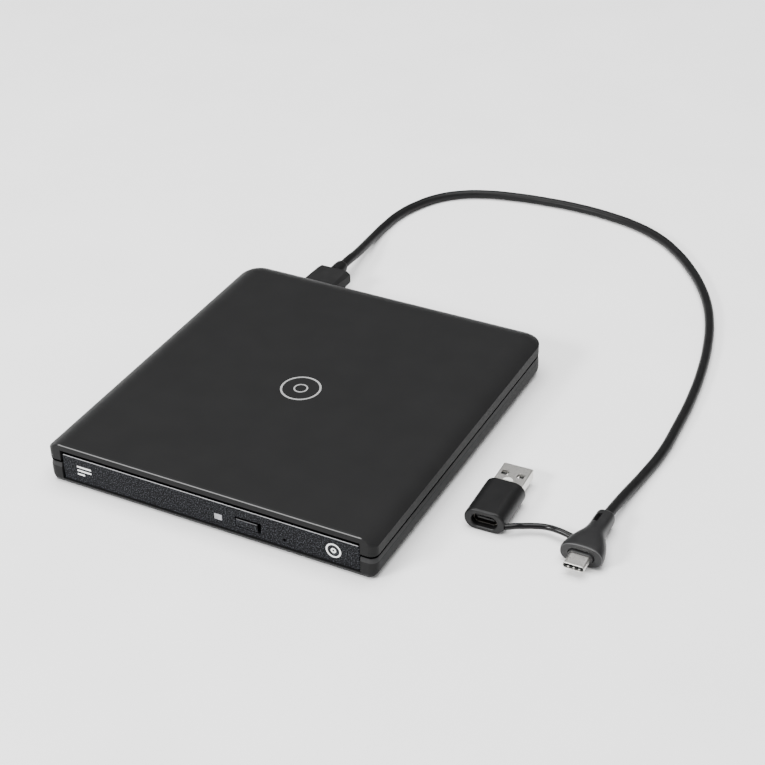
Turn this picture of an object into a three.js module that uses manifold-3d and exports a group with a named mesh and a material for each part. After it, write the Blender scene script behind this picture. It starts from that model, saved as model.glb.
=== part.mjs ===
// External optical drive with its USB lead and tethered adapter, in millimetres, +Z up.
// Origin: centre of the case's footprint on the table. The bezel faces -Y and the lead leaves at +Y.
import * as THREE from 'three';
import { mergeVertices } from 'three/addons/utils/BufferGeometryUtils.js';
import Module from 'manifold-3d';

const wasm = await Module();
wasm.setup();

// ---------------------------------------------------------------- driving dimensions
const CASE = {
  halfWidth: 70.7, front: -76.5, rear: 76.5, base: 0.9, top: 18.4, seam: 9.9, seamGap: 0.3,
  wall: 1.7, frontRadius: 3.3, rearRadius: 9.0,
};
// The roof falls away over `width` at the sides and the rear, down to a crease at `creaseZ`.
const PILLOW = { width: 9.8, creaseZ: 14.9, frontBevel: 0.9, frontBevelDepth: 1.3 };
const LOWER = { floorTop: 2.3, bottomRound: 3.2, bandLow: 7.4, bandInset: 0.45 };
const MOUTH = { halfWidth: 64.5, top: 15.6 };
const FOOT = { x: 64.2, y: 60, halfWidth: 3.0, halfLength: 9, pocket: 0.6 };
const CASE_SCREW = { x: 65.5, y: 60, headR: 1.6, shankR: 0.8, bossR: 1.45, tip: 9.0 };

const DRIVE = { front: -71.6, rear: 54.0, bottom: 2.6, lidTop: 13.9, lidHalfWidth: 63.5 };
const PAN = { halfWidth: 62.8, floor: 0.7, wall: 0.8, top: 13.0, ribX: 30, ribHalfWidth: 8, ribEnd: 40 };
const DRIVE_PLUG = { x0: -19.6, x1: 0.6, y0: 51.4, y1: 56.6, z0: 5.9, z1: 8.3, clear: 0.5 };
const FLEX = { x0: -16, x1: -2, y0: 0, y1: 50.5, lift: 0.05, thick: 0.2 };
const LID = { plate: 0.6, flangeLow: 9.5, flange: 0.45, rearOver: 0.7 };
// Shallow rounded panel pressed into the lid.
const LID_PANEL = { halfWidth: 46, y0: -52, y1: 40, r: 8, depth: 0.25 };
// Each side has a channel on the pan's wall and a C-section rail that slides in it.
const RAIL = {
  front: -69.5, rear: 50.0, channelLow: 4.2, channelHigh: 8.4, channelX: 59.6, channelBack: 61.8,
  railX: 58.4, railBack: 61.0, lip: 0.8, web: 0.6, railWeb: 1.0, clear: 0.2,
};
const TRAY = {
  halfWidth: 61.5, front: -71.8, rear: 51.8, top: 11.9, plateLow: 8.7, wellFloor: 9.9,
  innerWellFloor: 9.5, wellR: 60.6, innerWellR: 43, discY: -9.9, skirtLow: 4.4, lip: 21,
};
const SKIRT = {
  inner: 56.0, outer: 57.9, tongueInner: 57.5, tongueOuter: 59.8, tongueLow: 6.05, tongueHigh: 6.55,
};
const GRIP = { x: 27, inset: 6, r: 9 };
const WINDOW = { r: 18.8, halfWidth: 13.6, end: -63.4 };
const BEZEL = { halfWidth: 64, front: -76.0, back: -72.1, low: 2.6, high: 14.1, skin: 1.6 };
const BUTTON_POCKET = { x0: 12.7, x1: 23.5, z0: 5.0, z1: 9.6 };
const LED_WINDOW = { x0: 3.2, x1: 6.9, z0: 5.4, z1: 8.3 };
const PINHOLE = { x: 33.3, z: 5.9, r: 0.55 };
const TRAVERSE_TURN = Math.PI / 4;
const TRAVERSE = { x0: -18.5, x1: 12.8, y0: -65.5, y1: 22, low: 4.4, high: 8.2 };
const ROD = { x: 10.5, z: 6.3, r: 1.0, y0: -65.0, y1: -9.0 };
const SLED = { inner: 23.5, halfLength: 5.6, halfWidth: 12.2, low: 4.6, high: 8.0 };
const LEAD = { x: -15.0, z: 6.3, r: 0.9, y0: -62.0, y1: -15.2, pitch: 3.0 };
const MOTOR = {
  baseR: 11.6, baseLow: 3.8, baseHigh: 6.5, canR: 11.0, canHigh: 9.2, flangeR: 14.4, top: 9.9,
};
const DISC_SEAT_Z = 10.3;
const HUB = { r: 7.35, low: 10.0, high: 12.6 };
const LATCH = { pivotX: -38.0, pivotY: -58.0, r: 1.6 };
const LATCH_ARM = { tip: -47.6, y0: -60.2, y1: -58.4, hookX: -45.9, hookEnd: -55.2, low: 5.2, high: 7.2 };
const SOLENOID = { x0: -46, x1: -34, y0: -50, y1: -36, low: 4.2, high: 8.2 };
const TRAY_BOARD = { x0: -36, x1: 50, y0: 19, y1: 48, low: 7.2, high: 8.3 };
const SWITCH = { x0: 15.6, x1: 19.6, depth: 3.0, z0: 5.2, z1: 8.0 };
const SPRING = { turns: 5, r: 1.75, wire: 0.2, y0: 23.0, length: 23.5 };
const CATCH_POST = { x: -50, y: -62, r: 1.5, top: 7.0 };
const EJECTOR = { x: -44, y0: 18.5, y1: 51.4, z: 6.4, r: 1.2, headR: 1.9 };

const BOARD = { x0: -58, x1: 16, y0: 57.2, y1: 72.6, low: 4.3, high: 5.4, gap: 0.1, screwY: 61.5 };
const BRIDGE_CHIP = { x: -12, y: 63.6, side: 8, high: 1.0 };
const SATA_SOCKET = {
  x0: -20.4, x1: 1.4, y0: 57.4, y1: 62.6, top: 8.6, wall: 1.8, slotEnd: 61, slotLow: 6.4, slotHigh: 7.8,
};
const PORT_TONGUE = { halfWidth: 4.4, length: 5.4, halfHeight: 0.35 };
const PORT = { x: -39.9, z: 7.7, halfWidth: 6.4, halfHeight: 2.1, sheet: 0.4, inner: 68.6, mouth: 76.1 };
const REAR_PLUG = { halfWidth: 7.8, halfHeight: 3.5, front: 77.0, back: 96.3, bevelX: 2.2, bevelZ: 1.3 };
const RELIEF = { start: 96.6, end: 104.0, r0: 3.2, r1: 2.5 };
const CORD_R = 2.05;

const TYPE_C = { x: 132.2, axisZ: 4.65, face: -36.6, neck: -11.2 };
const C_BOSS = { halfWidth: 4.75, halfHeight: 1.95, front: -37.6, bore: 0.2, boreEnd: -35.0 };
const C_SHELL = { halfWidth: 4.15, halfHeight: 1.25, sheet: 0.3, tip: -43.7, root: -35.2 };
const C_TONGUE = { halfWidth: 3.2, halfHeight: 0.33, tip: -42.1 };
// The adapter lies turned by `turn` radians about the vertical through (x, turnY).
const ADAPTER = {
  x: 92.6, axisZ: 4.6, front: -33.8, rear: -12.6, halfWidth: 8.1, halfHeight: 4.6, edge: 0.4,
  turnY: -20, turn: 0.03,
};
const SOCKET = { halfWidth: 5.15, halfHeight: 2.6, depth: 8.2, lip: 1.4, wall: 0.45, ring: 1.72 };
const USB_A = {
  halfWidth: 6.0, halfHeight: 2.25, sheet: 0.32, root: -12.4, tip: 0.4, holeX: 3.15, holeHalf: 1.25,
};

// Centreline of the cord, from the strain relief to the neck of the far plug.
const CORD_ROUTE = [
  [-39.9, 104.3, 7.7], [-40, 110, 7.4], [-40.5, 118, 6.2], [-42, 130, 4.4], [-43.5, 142, 2.8],
  [-44, 154, 2.15], [-43, 166, 2.15], [-39.5, 178, 2.15], [-33.5, 189, 2.15], [-25, 197, 2.15],
  [-14, 202.5, 2.15], [0, 206, 2.15], [16, 208, 2.15], [32, 208.5, 2.15], [48, 207, 2.15],
  [63, 203.5, 2.15], [77, 197, 2.15], [89, 187.5, 2.15], [100, 175.5, 2.15], [109, 163, 2.15],
  [116, 150.5, 2.15], [122, 136, 2.15], [127, 119, 2.15], [131, 100, 2.15], [134, 78, 2.15],
  [135.5, 56, 2.15], [136, 38, 2.15], [134.5, 20, 2.2], [133, 4, 3.3], [132.2, -10.9, 4.6],
];
const TETHER_R = 1.2;
// Centreline of the strap, from the adapter's end to the side of the type-C plug.
const TETHER_ROUTE = [
  [101.8, -32, 4], [104, -30.5, 4], [106.5, -28.5, 3.5], [109.5, -27, 3.5], [114, -25.5, 3.5],
  [119.5, -26, 4], [124.5, -27, 4],
];

// ---------------------------------------------------------------- small geometry tools
const FINISH = {
  caseBlack: { color: 0x1c1c1e, roughness: 0.62, metalness: 0 },
  bezelBlack: { color: 0x141518, roughness: 0.7, metalness: 0 },
  lightGrey: { color: 0xc9c9cc, roughness: 0.5, metalness: 0 },
  rubber: { color: 0x111112, roughness: 0.9, metalness: 0 },
  trayBlack: { color: 0x1f2022, roughness: 0.75, metalness: 0 },
  sheetSteel: { color: 0x9a9ca0, roughness: 0.4, metalness: 0.9 },
  steel: { color: 0xb4b6ba, roughness: 0.25, metalness: 1 },
  nickel: { color: 0xd2d0cc, roughness: 0.25, metalness: 1 },
  aluminium: { color: 0xb9bbbe, roughness: 0.45, metalness: 0.9 },
  brass: { color: 0xb08a45, roughness: 0.35, metalness: 1 },
  board: { color: 0x15402a, roughness: 0.6, metalness: 0 },
  chip: { color: 0x18181a, roughness: 0.5, metalness: 0 },
  insulator: { color: 0xe6e6e2, roughness: 0.5, metalness: 0 },
  glass: { color: 0x6b86c8, roughness: 0.05, metalness: 0 },
  acetal: { color: 0xdcdcd6, roughness: 0.5, metalness: 0 },
};

const assembly = new THREE.Group();

function part(name, geometry, finish, parent = assembly) {
  const mesh = new THREE.Mesh(geometry, new THREE.MeshStandardMaterial(FINISH[finish]));
  mesh.name = name;
  parent.add(mesh);
  return mesh;
}

function toManifold(geometry) {
  const bare = geometry.clone();
  bare.deleteAttribute('normal');
  bare.deleteAttribute('uv');
  const merged = mergeVertices(bare, 1e-4);
  return new wasm.Manifold(new wasm.Mesh({
    numProp: 3,
    vertProperties: new Float32Array(merged.attributes.position.array),
    triVerts: new Uint32Array(merged.index.array),
  }));
}

function toGeometry(manifold) {
  const mesh = manifold.getMesh();
  const geometry = new THREE.BufferGeometry();
  const positions = new Float32Array(mesh.vertProperties);
  geometry.setAttribute('position', new THREE.BufferAttribute(positions, 3));
  geometry.setIndex(new THREE.BufferAttribute(new Uint32Array(mesh.triVerts), 1));
  geometry.computeVertexNormals();
  return geometry;
}

function cut(body, ...tools) {
  let solid = toManifold(body);
  for (const tool of tools) {
    solid = solid.subtract(toManifold(tool));
  }
  return toGeometry(solid);
}

function join(body, ...others) {
  let solid = toManifold(body);
  for (const other of others) {
    solid = solid.add(toManifold(other));
  }
  return toGeometry(solid);
}

function block(x0, x1, y0, y1, z0, z1) {
  const box = new THREE.BoxGeometry(x1 - x0, y1 - y0, z1 - z0);
  return box.translate((x0 + x1) / 2, (y0 + y1) / 2, (z0 + z1) / 2);
}

function postZ(x, y, z0, z1, r, sides = 20) {
  const post = new THREE.CylinderGeometry(r, r, z1 - z0, sides);
  return post.rotateX(Math.PI / 2).translate(x, y, (z0 + z1) / 2);
}

function rodY(x, z, y0, y1, r, sides = 14) {
  const rod = new THREE.CylinderGeometry(r, r, y1 - y0, sides);
  return rod.translate(x, (y0 + y1) / 2, z);
}

// A turned piece about Z from [radius, z] pairs that start and end on the axis.
function turned(profile, sides = 40) {
  const points = profile.map(([r, z]) => new THREE.Vector2(r, z));
  return new THREE.LatheGeometry(points, sides).rotateX(Math.PI / 2);
}

function roundedOutline(x0, x1, y0, y1, r) {
  const shape = new THREE.Shape();
  shape.moveTo(x0 + r, y0);
  shape.lineTo(x1 - r, y0);
  shape.absarc(x1 - r, y0 + r, r, -Math.PI / 2, 0, false);
  shape.lineTo(x1, y1 - r);
  shape.absarc(x1 - r, y1 - r, r, 0, Math.PI / 2, false);
  shape.lineTo(x0 + r, y1);
  shape.absarc(x0 + r, y1 - r, r, Math.PI / 2, Math.PI, false);
  shape.lineTo(x0, y0 + r);
  shape.absarc(x0 + r, y0 + r, r, Math.PI, 1.5 * Math.PI, false);
  return shape;
}

function plate(shape, z0, z1, curveSegments = 5) {
  const options = { depth: z1 - z0, bevelEnabled: false, curveSegments };
  return new THREE.ExtrudeGeometry(shape, options).translate(0, 0, z0);
}

// A rounded bar along Y with a rounded rectangle as its section in X and Z.
function barY(x, z, halfWidth, halfHeight, r, y0, y1, curveSegments = 4) {
  const shape = roundedOutline(-halfWidth, halfWidth, -halfHeight, halfHeight, r);
  const options = { depth: y1 - y0, bevelEnabled: false, curveSegments };
  const bar = new THREE.ExtrudeGeometry(shape, options);
  return bar.rotateX(Math.PI / 2).translate(x, y1, z);
}

// Closed body through a stack of convex rings with the same number of points each.
function loft(rings) {
  const count = rings[0].length;
  const positions = rings.flat().flatMap((p) => [p.x, p.y, p.z]);
  const index = [];
  for (let level = 0; level < rings.length - 1; level += 1) {
    for (let i = 0; i < count; i += 1) {
      const a = level * count + i;
      const b = level * count + ((i + 1) % count);
      index.push(a, b, b + count, a, b + count, a + count);
    }
  }
  const last = (rings.length - 1) * count;
  for (let i = 1; i < count - 1; i += 1) {
    index.push(0, i + 1, i);
    index.push(last, last + i, last + i + 1);
  }
  const geometry = new THREE.BufferGeometry();
  geometry.setAttribute('position', new THREE.Float32BufferAttribute(positions, 3));
  geometry.setIndex(index);
  return geometry;
}

function sweep(route, halfWidth, halfHeight, sides, steps) {
  const curve = new THREE.CatmullRomCurve3(route.map((p) => new THREE.Vector3(...p)));
  const section = new THREE.Shape();
  section.absellipse(0, 0, halfWidth, halfHeight, 0, 2 * Math.PI, false);
  const outline = new THREE.Shape(section.getPoints(sides / 2).slice(0, sides));
  return new THREE.ExtrudeGeometry(outline, { steps, extrudePath: curve, bevelEnabled: false });
}

// ---------------------------------------------------------------- case
const CORNER_STEPS = 6;

// Plan outline of the case, drawn in by `side` at the sides and rear and by `front` at the front.
function caseRing(z, side, front) {
  const x = CASE.halfWidth - side;
  const y0 = CASE.front + front;
  const y1 = CASE.rear - side;
  const rf = Math.max(CASE.frontRadius - Math.max(side, front), 0.4);
  const rr = Math.max(CASE.rearRadius - side, 0.8);
  const corners = [
    [x - rf, y0 + rf, rf, -0.5], [x - rr, y1 - rr, rr, 0],
    [rr - x, y1 - rr, rr, 0.5], [rf - x, y0 + rf, rf, 1],
  ];
  const points = [];
  for (const [cx, cy, r, quarter] of corners) {
    for (let i = 0; i <= CORNER_STEPS; i += 1) {
      const angle = Math.PI * (quarter + (0.5 * i) / CORNER_STEPS);
      points.push(new THREE.Vector3(cx + r * Math.cos(angle), cy + r * Math.sin(angle), z));
    }
  }
  return points;
}

// Rings of the falling roof from the crease up to the flat, for a roof `skin` below the outer one.
function roofRings(skin, steps) {
  const drop = CASE.top - PILLOW.creaseZ;
  const slope = 2 * Math.atan(drop / PILLOW.width);
  const radius = PILLOW.width / Math.sin(slope);
  const rings = [];
  for (let i = 0; i <= steps; i += 1) {
    const angle = slope * (1 - i / steps);
    const fall = radius * (1 - Math.cos(angle));
    const inward = PILLOW.width - radius * Math.sin(angle);
    const bevel = PILLOW.frontBevel * Math.max(0, 1 - fall / PILLOW.frontBevelDepth);
    rings.push(caseRing(CASE.top - fall - skin, inward + skin, skin > 0 ? skin : bevel));
  }
  return rings;
}

function topCover() {
  const low = CASE.seam + CASE.seamGap / 2;
  const outer = loft([caseRing(low, 0.3, 0.3), caseRing(low + 0.3, 0, 0), ...roofRings(0, 7)]);
  const inner = loft([caseRing(low - 1, CASE.wall, CASE.wall), ...roofRings(CASE.wall, 4)]);
  const mouth = block(-MOUTH.halfWidth, MOUTH.halfWidth, CASE.front - 1, CASE.front + 3, low - 1, MOUTH.top);
  const bosses = [];
  const pilots = [];
  for (const [x, y] of screwPlaces()) {
    bosses.push(postZ(x, y, LOWER.floorTop + 0.3, 16.9, CASE_SCREW.bossR, 14));
    pilots.push(postZ(x, y, LOWER.floorTop, CASE_SCREW.tip + 0.6, CASE_SCREW.shankR + 0.1, 12));
  }
  return cut(join(cut(outer, inner, mouth), ...bosses), ...pilots);
}

function screwPlaces() {
  return [-1, 1].flatMap((sy) => [-1, 1].map((sx) => [sx * CASE_SCREW.x, sy * CASE_SCREW.y]));
}

// Lower shell: rounded under-edge, upright wall, then a bevelled band up to the seam.
function bottomCover() {
  const high = CASE.seam - CASE.seamGap / 2;
  const rings = [];
  for (let i = 0; i <= 4; i += 1) {
    const angle = (Math.PI / 2) * (i / 4);
    const inset = LOWER.bottomRound * (1 - Math.sin(angle));
    rings.push(caseRing(CASE.base + LOWER.bottomRound * (1 - Math.cos(angle)), inset, inset));
  }
  rings.push(caseRing(LOWER.bandLow, 0, 0));
  rings.push(caseRing(high - 0.3, LOWER.bandInset, LOWER.bandInset));
  rings.push(caseRing(high, LOWER.bandInset + 0.3, LOWER.bandInset + 0.3));
  const inner = loft([
    caseRing(LOWER.floorTop, 3.4, 2.2),
    caseRing(LOWER.floorTop + 1.4, 1.9, 1.8),
    caseRing(high + 1, 1.8, 1.8),
  ]);
  const mouth = block(
    -MOUTH.halfWidth, MOUTH.halfWidth, CASE.front - 1, CASE.front + 3, LOWER.floorTop, high + 1,
  );
  const portNotch = block(PORT.x - 6.9, PORT.x + 6.9, CASE.rear - 4, CASE.rear + 1, PORT.z - 2.6, high + 1);
  const holes = [];
  for (const [x, y] of screwPlaces()) {
    holes.push(postZ(x, y, 0, LOWER.floorTop + 1, CASE_SCREW.shankR + 0.25, 14));
  }
  for (const [x, y] of footPlaces()) {
    holes.push(footPad(x, y, 0, CASE.base + FOOT.pocket, 0.2));
  }
  const posts = boardScrewPlaces().map(([x, y]) => postZ(x, y, 2.0, BOARD.low - 0.1, 2.0, 14));
  const pilots = boardScrewPlaces().map(([x, y]) => postZ(x, y, 2.4, 6, 0.75, 12));
  return cut(join(cut(loft(rings), inner, mouth, portNotch, ...holes), ...posts), ...pilots);
}

function footPlaces() {
  return [-1, 1].flatMap((sy) => [-1, 1].map((sx) => [sx * FOOT.x, sy * FOOT.y]));
}

function footPad(x, y, z0, z1, grow) {
  const hw = FOOT.halfWidth + grow;
  const hl = FOOT.halfLength + grow;
  return plate(roundedOutline(x - hw, x + hw, y - hl, y + hl, hw - 0.05), z0, z1);
}

function caseScrew(x, y) {
  const start = CASE.base + FOOT.pocket - 0.5;
  return join(
    postZ(x, y, start, start + 0.45, CASE_SCREW.headR, 16),
    postZ(x, y, start + 0.2, CASE_SCREW.tip, CASE_SCREW.shankR, 12),
  );
}

function buildCase() {
  part('top_cover', topCover(), 'caseBlack');
  part('bottom_cover', bottomCover(), 'caseBlack');
  const names = ['front_left', 'front_right', 'rear_left', 'rear_right'];
  footPlaces().forEach(([x, y], i) => {
    const recess = postZ(...screwPlaces()[i], CASE.base - 0.2, CASE.base + 2, CASE_SCREW.headR + 0.2, 16);
    part(`foot_${names[i]}`, cut(footPad(x, y, 0, CASE.base + FOOT.pocket - 0.1, 0), recess), 'rubber');
  });
  screwPlaces().forEach(([x, y], i) => part(`case_screw_${names[i]}`, caseScrew(x, y), 'steel'));
}

// ---------------------------------------------------------------- drive mechanism, fixed parts
function driveChassis() {
  const floor = DRIVE.bottom + PAN.floor;
  const inside = PAN.halfWidth - PAN.wall;
  const outer = block(-PAN.halfWidth, PAN.halfWidth, DRIVE.front, DRIVE.rear, DRIVE.bottom, PAN.top);
  const inner = block(-inside, inside, DRIVE.front - 1, DRIVE.rear - PAN.wall, floor, PAN.top + 1);
  const p = DRIVE_PLUG;
  const plugHole = block(
    p.x0 - p.clear, p.x1 + p.clear, DRIVE.rear - 2, DRIVE.rear + 1, p.z0 - p.clear, p.z1 + p.clear,
  );
  const ribs = [-PAN.ribX, PAN.ribX].map((x) => block(
    x - PAN.ribHalfWidth, x + PAN.ribHalfWidth, -PAN.ribEnd, PAN.ribEnd,
    DRIVE.bottom - 1, DRIVE.bottom + 0.3,
  ));
  return cut(outer, inner, plugHole, ...ribs);
}

function driveLid() {
  const hw = DRIVE.lidHalfWidth;
  const rear = DRIVE.rear + LID.rearOver;
  const outer = block(-hw, hw, DRIVE.front, rear, LID.flangeLow, DRIVE.lidTop);
  const inner = block(
    LID.flange - hw, hw - LID.flange, DRIVE.front - 1, rear - LID.flange,
    LID.flangeLow - 1, DRIVE.lidTop - LID.plate,
  );
  const panelShape = roundedOutline(
    -LID_PANEL.halfWidth, LID_PANEL.halfWidth, LID_PANEL.y0, LID_PANEL.y1, LID_PANEL.r,
  );
  const panel = plate(panelShape, DRIVE.lidTop - LID_PANEL.depth, DRIVE.lidTop + 1, 3);
  return cut(outer, inner, panel);
}

function railChannel(side) {
  const { channelLow: low, channelHigh: high } = RAIL;
  const slotBack = RAIL.channelBack - RAIL.web;
  const outer = block(RAIL.channelX, RAIL.channelBack, RAIL.front, RAIL.rear, low, high);
  const slot = block(
    RAIL.channelX - 1, slotBack, RAIL.front - 1, RAIL.rear + 1, low + RAIL.lip, high - RAIL.lip,
  );
  const geometry = cut(outer, slot);
  return side < 0 ? geometry.rotateZ(Math.PI).translate(0, RAIL.front + RAIL.rear, 0) : geometry;
}

function slidingRail(side) {
  const low = RAIL.channelLow + RAIL.lip + RAIL.clear;
  const high = RAIL.channelHigh - RAIL.lip - RAIL.clear;
  const grooveBack = RAIL.railBack - RAIL.railWeb;
  const outer = block(RAIL.railX, RAIL.railBack, RAIL.front, RAIL.rear, low, high);
  const groove = block(
    RAIL.railX - 1, grooveBack, RAIL.front - 1, RAIL.rear + 1, low + RAIL.web, high - RAIL.web,
  );
  const geometry = cut(outer, groove);
  return side < 0 ? geometry.rotateZ(Math.PI).translate(0, RAIL.front + RAIL.rear, 0) : geometry;
}

function buildMechanism() {
  part('drive_chassis', driveChassis(), 'sheetSteel');
  part('drive_lid', driveLid(), 'sheetSteel');
  part('rail_channel_left', railChannel(-1), 'acetal');
  part('rail_channel_right', railChannel(1), 'acetal');
  part('rail_left', slidingRail(-1), 'steel');
  part('rail_right', slidingRail(1), 'steel');
  const floor = DRIVE.bottom + PAN.floor;
  const post = postZ(CATCH_POST.x, CATCH_POST.y, floor + 0.05, CATCH_POST.top, CATCH_POST.r, 16);
  part('catch_post', post, 'steel');
  const flexLow = floor + FLEX.lift;
  part('flex_cable', block(FLEX.x0, FLEX.x1, FLEX.y0, FLEX.y1, flexLow, flexLow + FLEX.thick), 'brass');
  const p = DRIVE_PLUG;
  part('drive_sata_plug', block(p.x0, p.x1, p.y0, p.y1, p.z0, p.z1), 'chip');
}

// ---------------------------------------------------------------- bridge board behind the mechanism
function boardScrewPlaces() {
  return [[BOARD.x0 + 4, BOARD.screwY], [BOARD.x1 - 4, BOARD.screwY]];
}

function buildBridgeBoard() {
  const holes = boardScrewPlaces().map(([x, y]) => postZ(x, y, 0, 9, 0.95, 14));
  const board = block(BOARD.x0, BOARD.x1, BOARD.y0, BOARD.y1, BOARD.low, BOARD.high);
  part('bridge_board', cut(board, ...holes), 'board');
  const seat = BOARD.high + BOARD.gap;
  const c = BRIDGE_CHIP;
  part('bridge_chip', block(c.x, c.x + c.side, c.y, c.y + c.side, seat, seat + c.high), 'chip');
  const s = SATA_SOCKET;
  const slot = block(s.x0 + s.wall, s.x1 - s.wall, s.y0 - 1, s.slotEnd, s.slotLow, s.slotHigh);
  part('sata_socket', cut(block(s.x0, s.x1, s.y0, s.y1, seat, s.top), slot), 'chip');
  const outer = barY(PORT.x, PORT.z, PORT.halfWidth, PORT.halfHeight, 0.6, PORT.inner, PORT.mouth);
  const inner = barY(
    PORT.x, PORT.z, PORT.halfWidth - PORT.sheet, PORT.halfHeight - PORT.sheet, 0.4,
    PORT.inner + 0.5, PORT.mouth + 1,
  );
  const t = PORT_TONGUE;
  const tongue = block(
    PORT.x - t.halfWidth, PORT.x + t.halfWidth, PORT.inner + 0.2, PORT.inner + 0.2 + t.length,
    PORT.z - t.halfHeight, PORT.z + t.halfHeight,
  );
  part('usb_port', join(cut(outer, inner), tongue), 'nickel');
  boardScrewPlaces().forEach(([x, y], i) => {
    const screw = join(postZ(x, y, seat, seat + 0.8, 1.6, 16), postZ(x, y, 2.6, seat + 0.2, 0.65, 12));
    part(`board_screw_${i + 1}`, screw, 'steel');
  });
}

// ---------------------------------------------------------------- tray and what it carries
// Opening in the tray's floor over the spindle motor and the pickup's path.
function trayWindow(z0, z1) {
  const { r, halfWidth, end } = WINDOW;
  const round = postZ(0, 0, z0, z1, r, 40);
  const slot = block(-halfWidth, halfWidth, end, 0, z0, z1);
  return join(round, slot).rotateZ(TRAVERSE_TURN).translate(0, TRAY.discY, 0);
}

// Disc well and the two finger grips at its front edge, from z0 up.
function wellCutters(z0) {
  const { front, top, discY, wellR } = TRAY;
  const well = postZ(0, discY, z0, top + 1, wellR, 84);
  const grips = [-1, 1].map(
    (s) => postZ(s * GRIP.x, front + GRIP.inset, z0, top + 1, GRIP.r, 24),
  );
  return [well, ...grips];
}

// Raised surround of the disc well, open at the front between the finger grips.
function traySurround() {
  const { halfWidth: hw, front, rear, wellFloor, top, lip } = TRAY;
  const sheet = plate(roundedOutline(-hw, hw, front, rear, 3), wellFloor, top, 3);
  const mouth = block(-lip, lip, front - 1, front + GRIP.r, wellFloor - 1, top + 1);
  const window = trayWindow(wellFloor - 1, top + 1);
  return cut(sheet, ...wellCutters(wellFloor - 1), mouth, window);
}

function trayBody() {
  const { halfWidth: hw, front, rear, plateLow: low, wellFloor, top, lip } = TRAY;
  const sheet = plate(roundedOutline(-hw, hw, front, rear, 3), low, wellFloor, 3);
  const frontLip = cut(
    block(-lip, lip, front, front + GRIP.r, wellFloor - 0.2, top), ...wellCutters(wellFloor),
  );
  const innerWell = postZ(0, TRAY.discY, TRAY.innerWellFloor, top, TRAY.innerWellR, 60);
  const skirts = [];
  for (const s of [-1, 1]) {
    const wall = [s * SKIRT.inner, s * SKIRT.outer].sort((a, b) => a - b);
    const tongue = [s * SKIRT.tongueInner, s * SKIRT.tongueOuter].sort((a, b) => a - b);
    skirts.push(block(wall[0], wall[1], front, rear - 2, TRAY.skirtLow, low + 0.2));
    skirts.push(block(
      tongue[0], tongue[1], front + 3, rear - 3, SKIRT.tongueLow, SKIRT.tongueHigh,
    ));
  }
  const frontWall = block(
    -SKIRT.tongueInner, SKIRT.tongueInner, front, front + 1.3, TRAY.skirtLow, low + 0.2,
  );
  const stemHole = block(BUTTON_POCKET.x0 + 2, BUTTON_POCKET.x1 - 2, front - 1, front + 2, 4.9, 8.0);
  const ledHole = block(LED_WINDOW.x0 - 0.5, LED_WINDOW.x1 + 0.5, front - 1, front + 2, 5.0, 8.6);
  const pinHole = rodY(PINHOLE.x, PINHOLE.z, front - 1, front + 2, 0.9);
  const guide = block(EJECTOR.x - 2.2, EJECTOR.x + 2.2, 20.0, 22.0, TRAY.skirtLow, low + 0.2);
  const guideHole = rodY(EJECTOR.x, EJECTOR.z, 19, 23, EJECTOR.r + 0.3);
  const window = trayWindow(low - 1, top + 1);
  const body = join(sheet, frontLip, ...skirts, frontWall, guide);
  return cut(body, innerWell, window, stemHole, ledHole, pinHole, guideHole);
}

function bezelBody() {
  const { halfWidth: hw, front, back, low, high, skin } = BEZEL;
  const outer = block(-hw, hw, front, back, low, high);
  const pocket = block(-hw + 1.4, hw - 1.4, front + skin, back + 1, low + 1.2, high - 1.2);
  const b = BUTTON_POCKET;
  const l = LED_WINDOW;
  const buttonHole = block(b.x0, b.x1, front - 1, back, b.z0, b.z1);
  const ledHole = block(l.x0, l.x1, front - 1, back, l.z0, l.z1);
  return cut(outer, pocket, buttonHole, ledHole, rodY(PINHOLE.x, PINHOLE.z, front - 1, back, PINHOLE.r));
}

function ejectButton() {
  const b = BUTTON_POCKET;
  const face = BEZEL.front + 0.15;
  const cap = block(b.x0 + 0.25, b.x1 - 0.75, face, face + 2.45, b.z0 + 0.2, b.z1 - 0.8);
  const stem = block(b.x0 + 2.8, b.x1 - 3.4, face + 2.25, TRAY.front + 1.5, 5.5, 7.4);
  return join(cap, stem);
}

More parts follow.
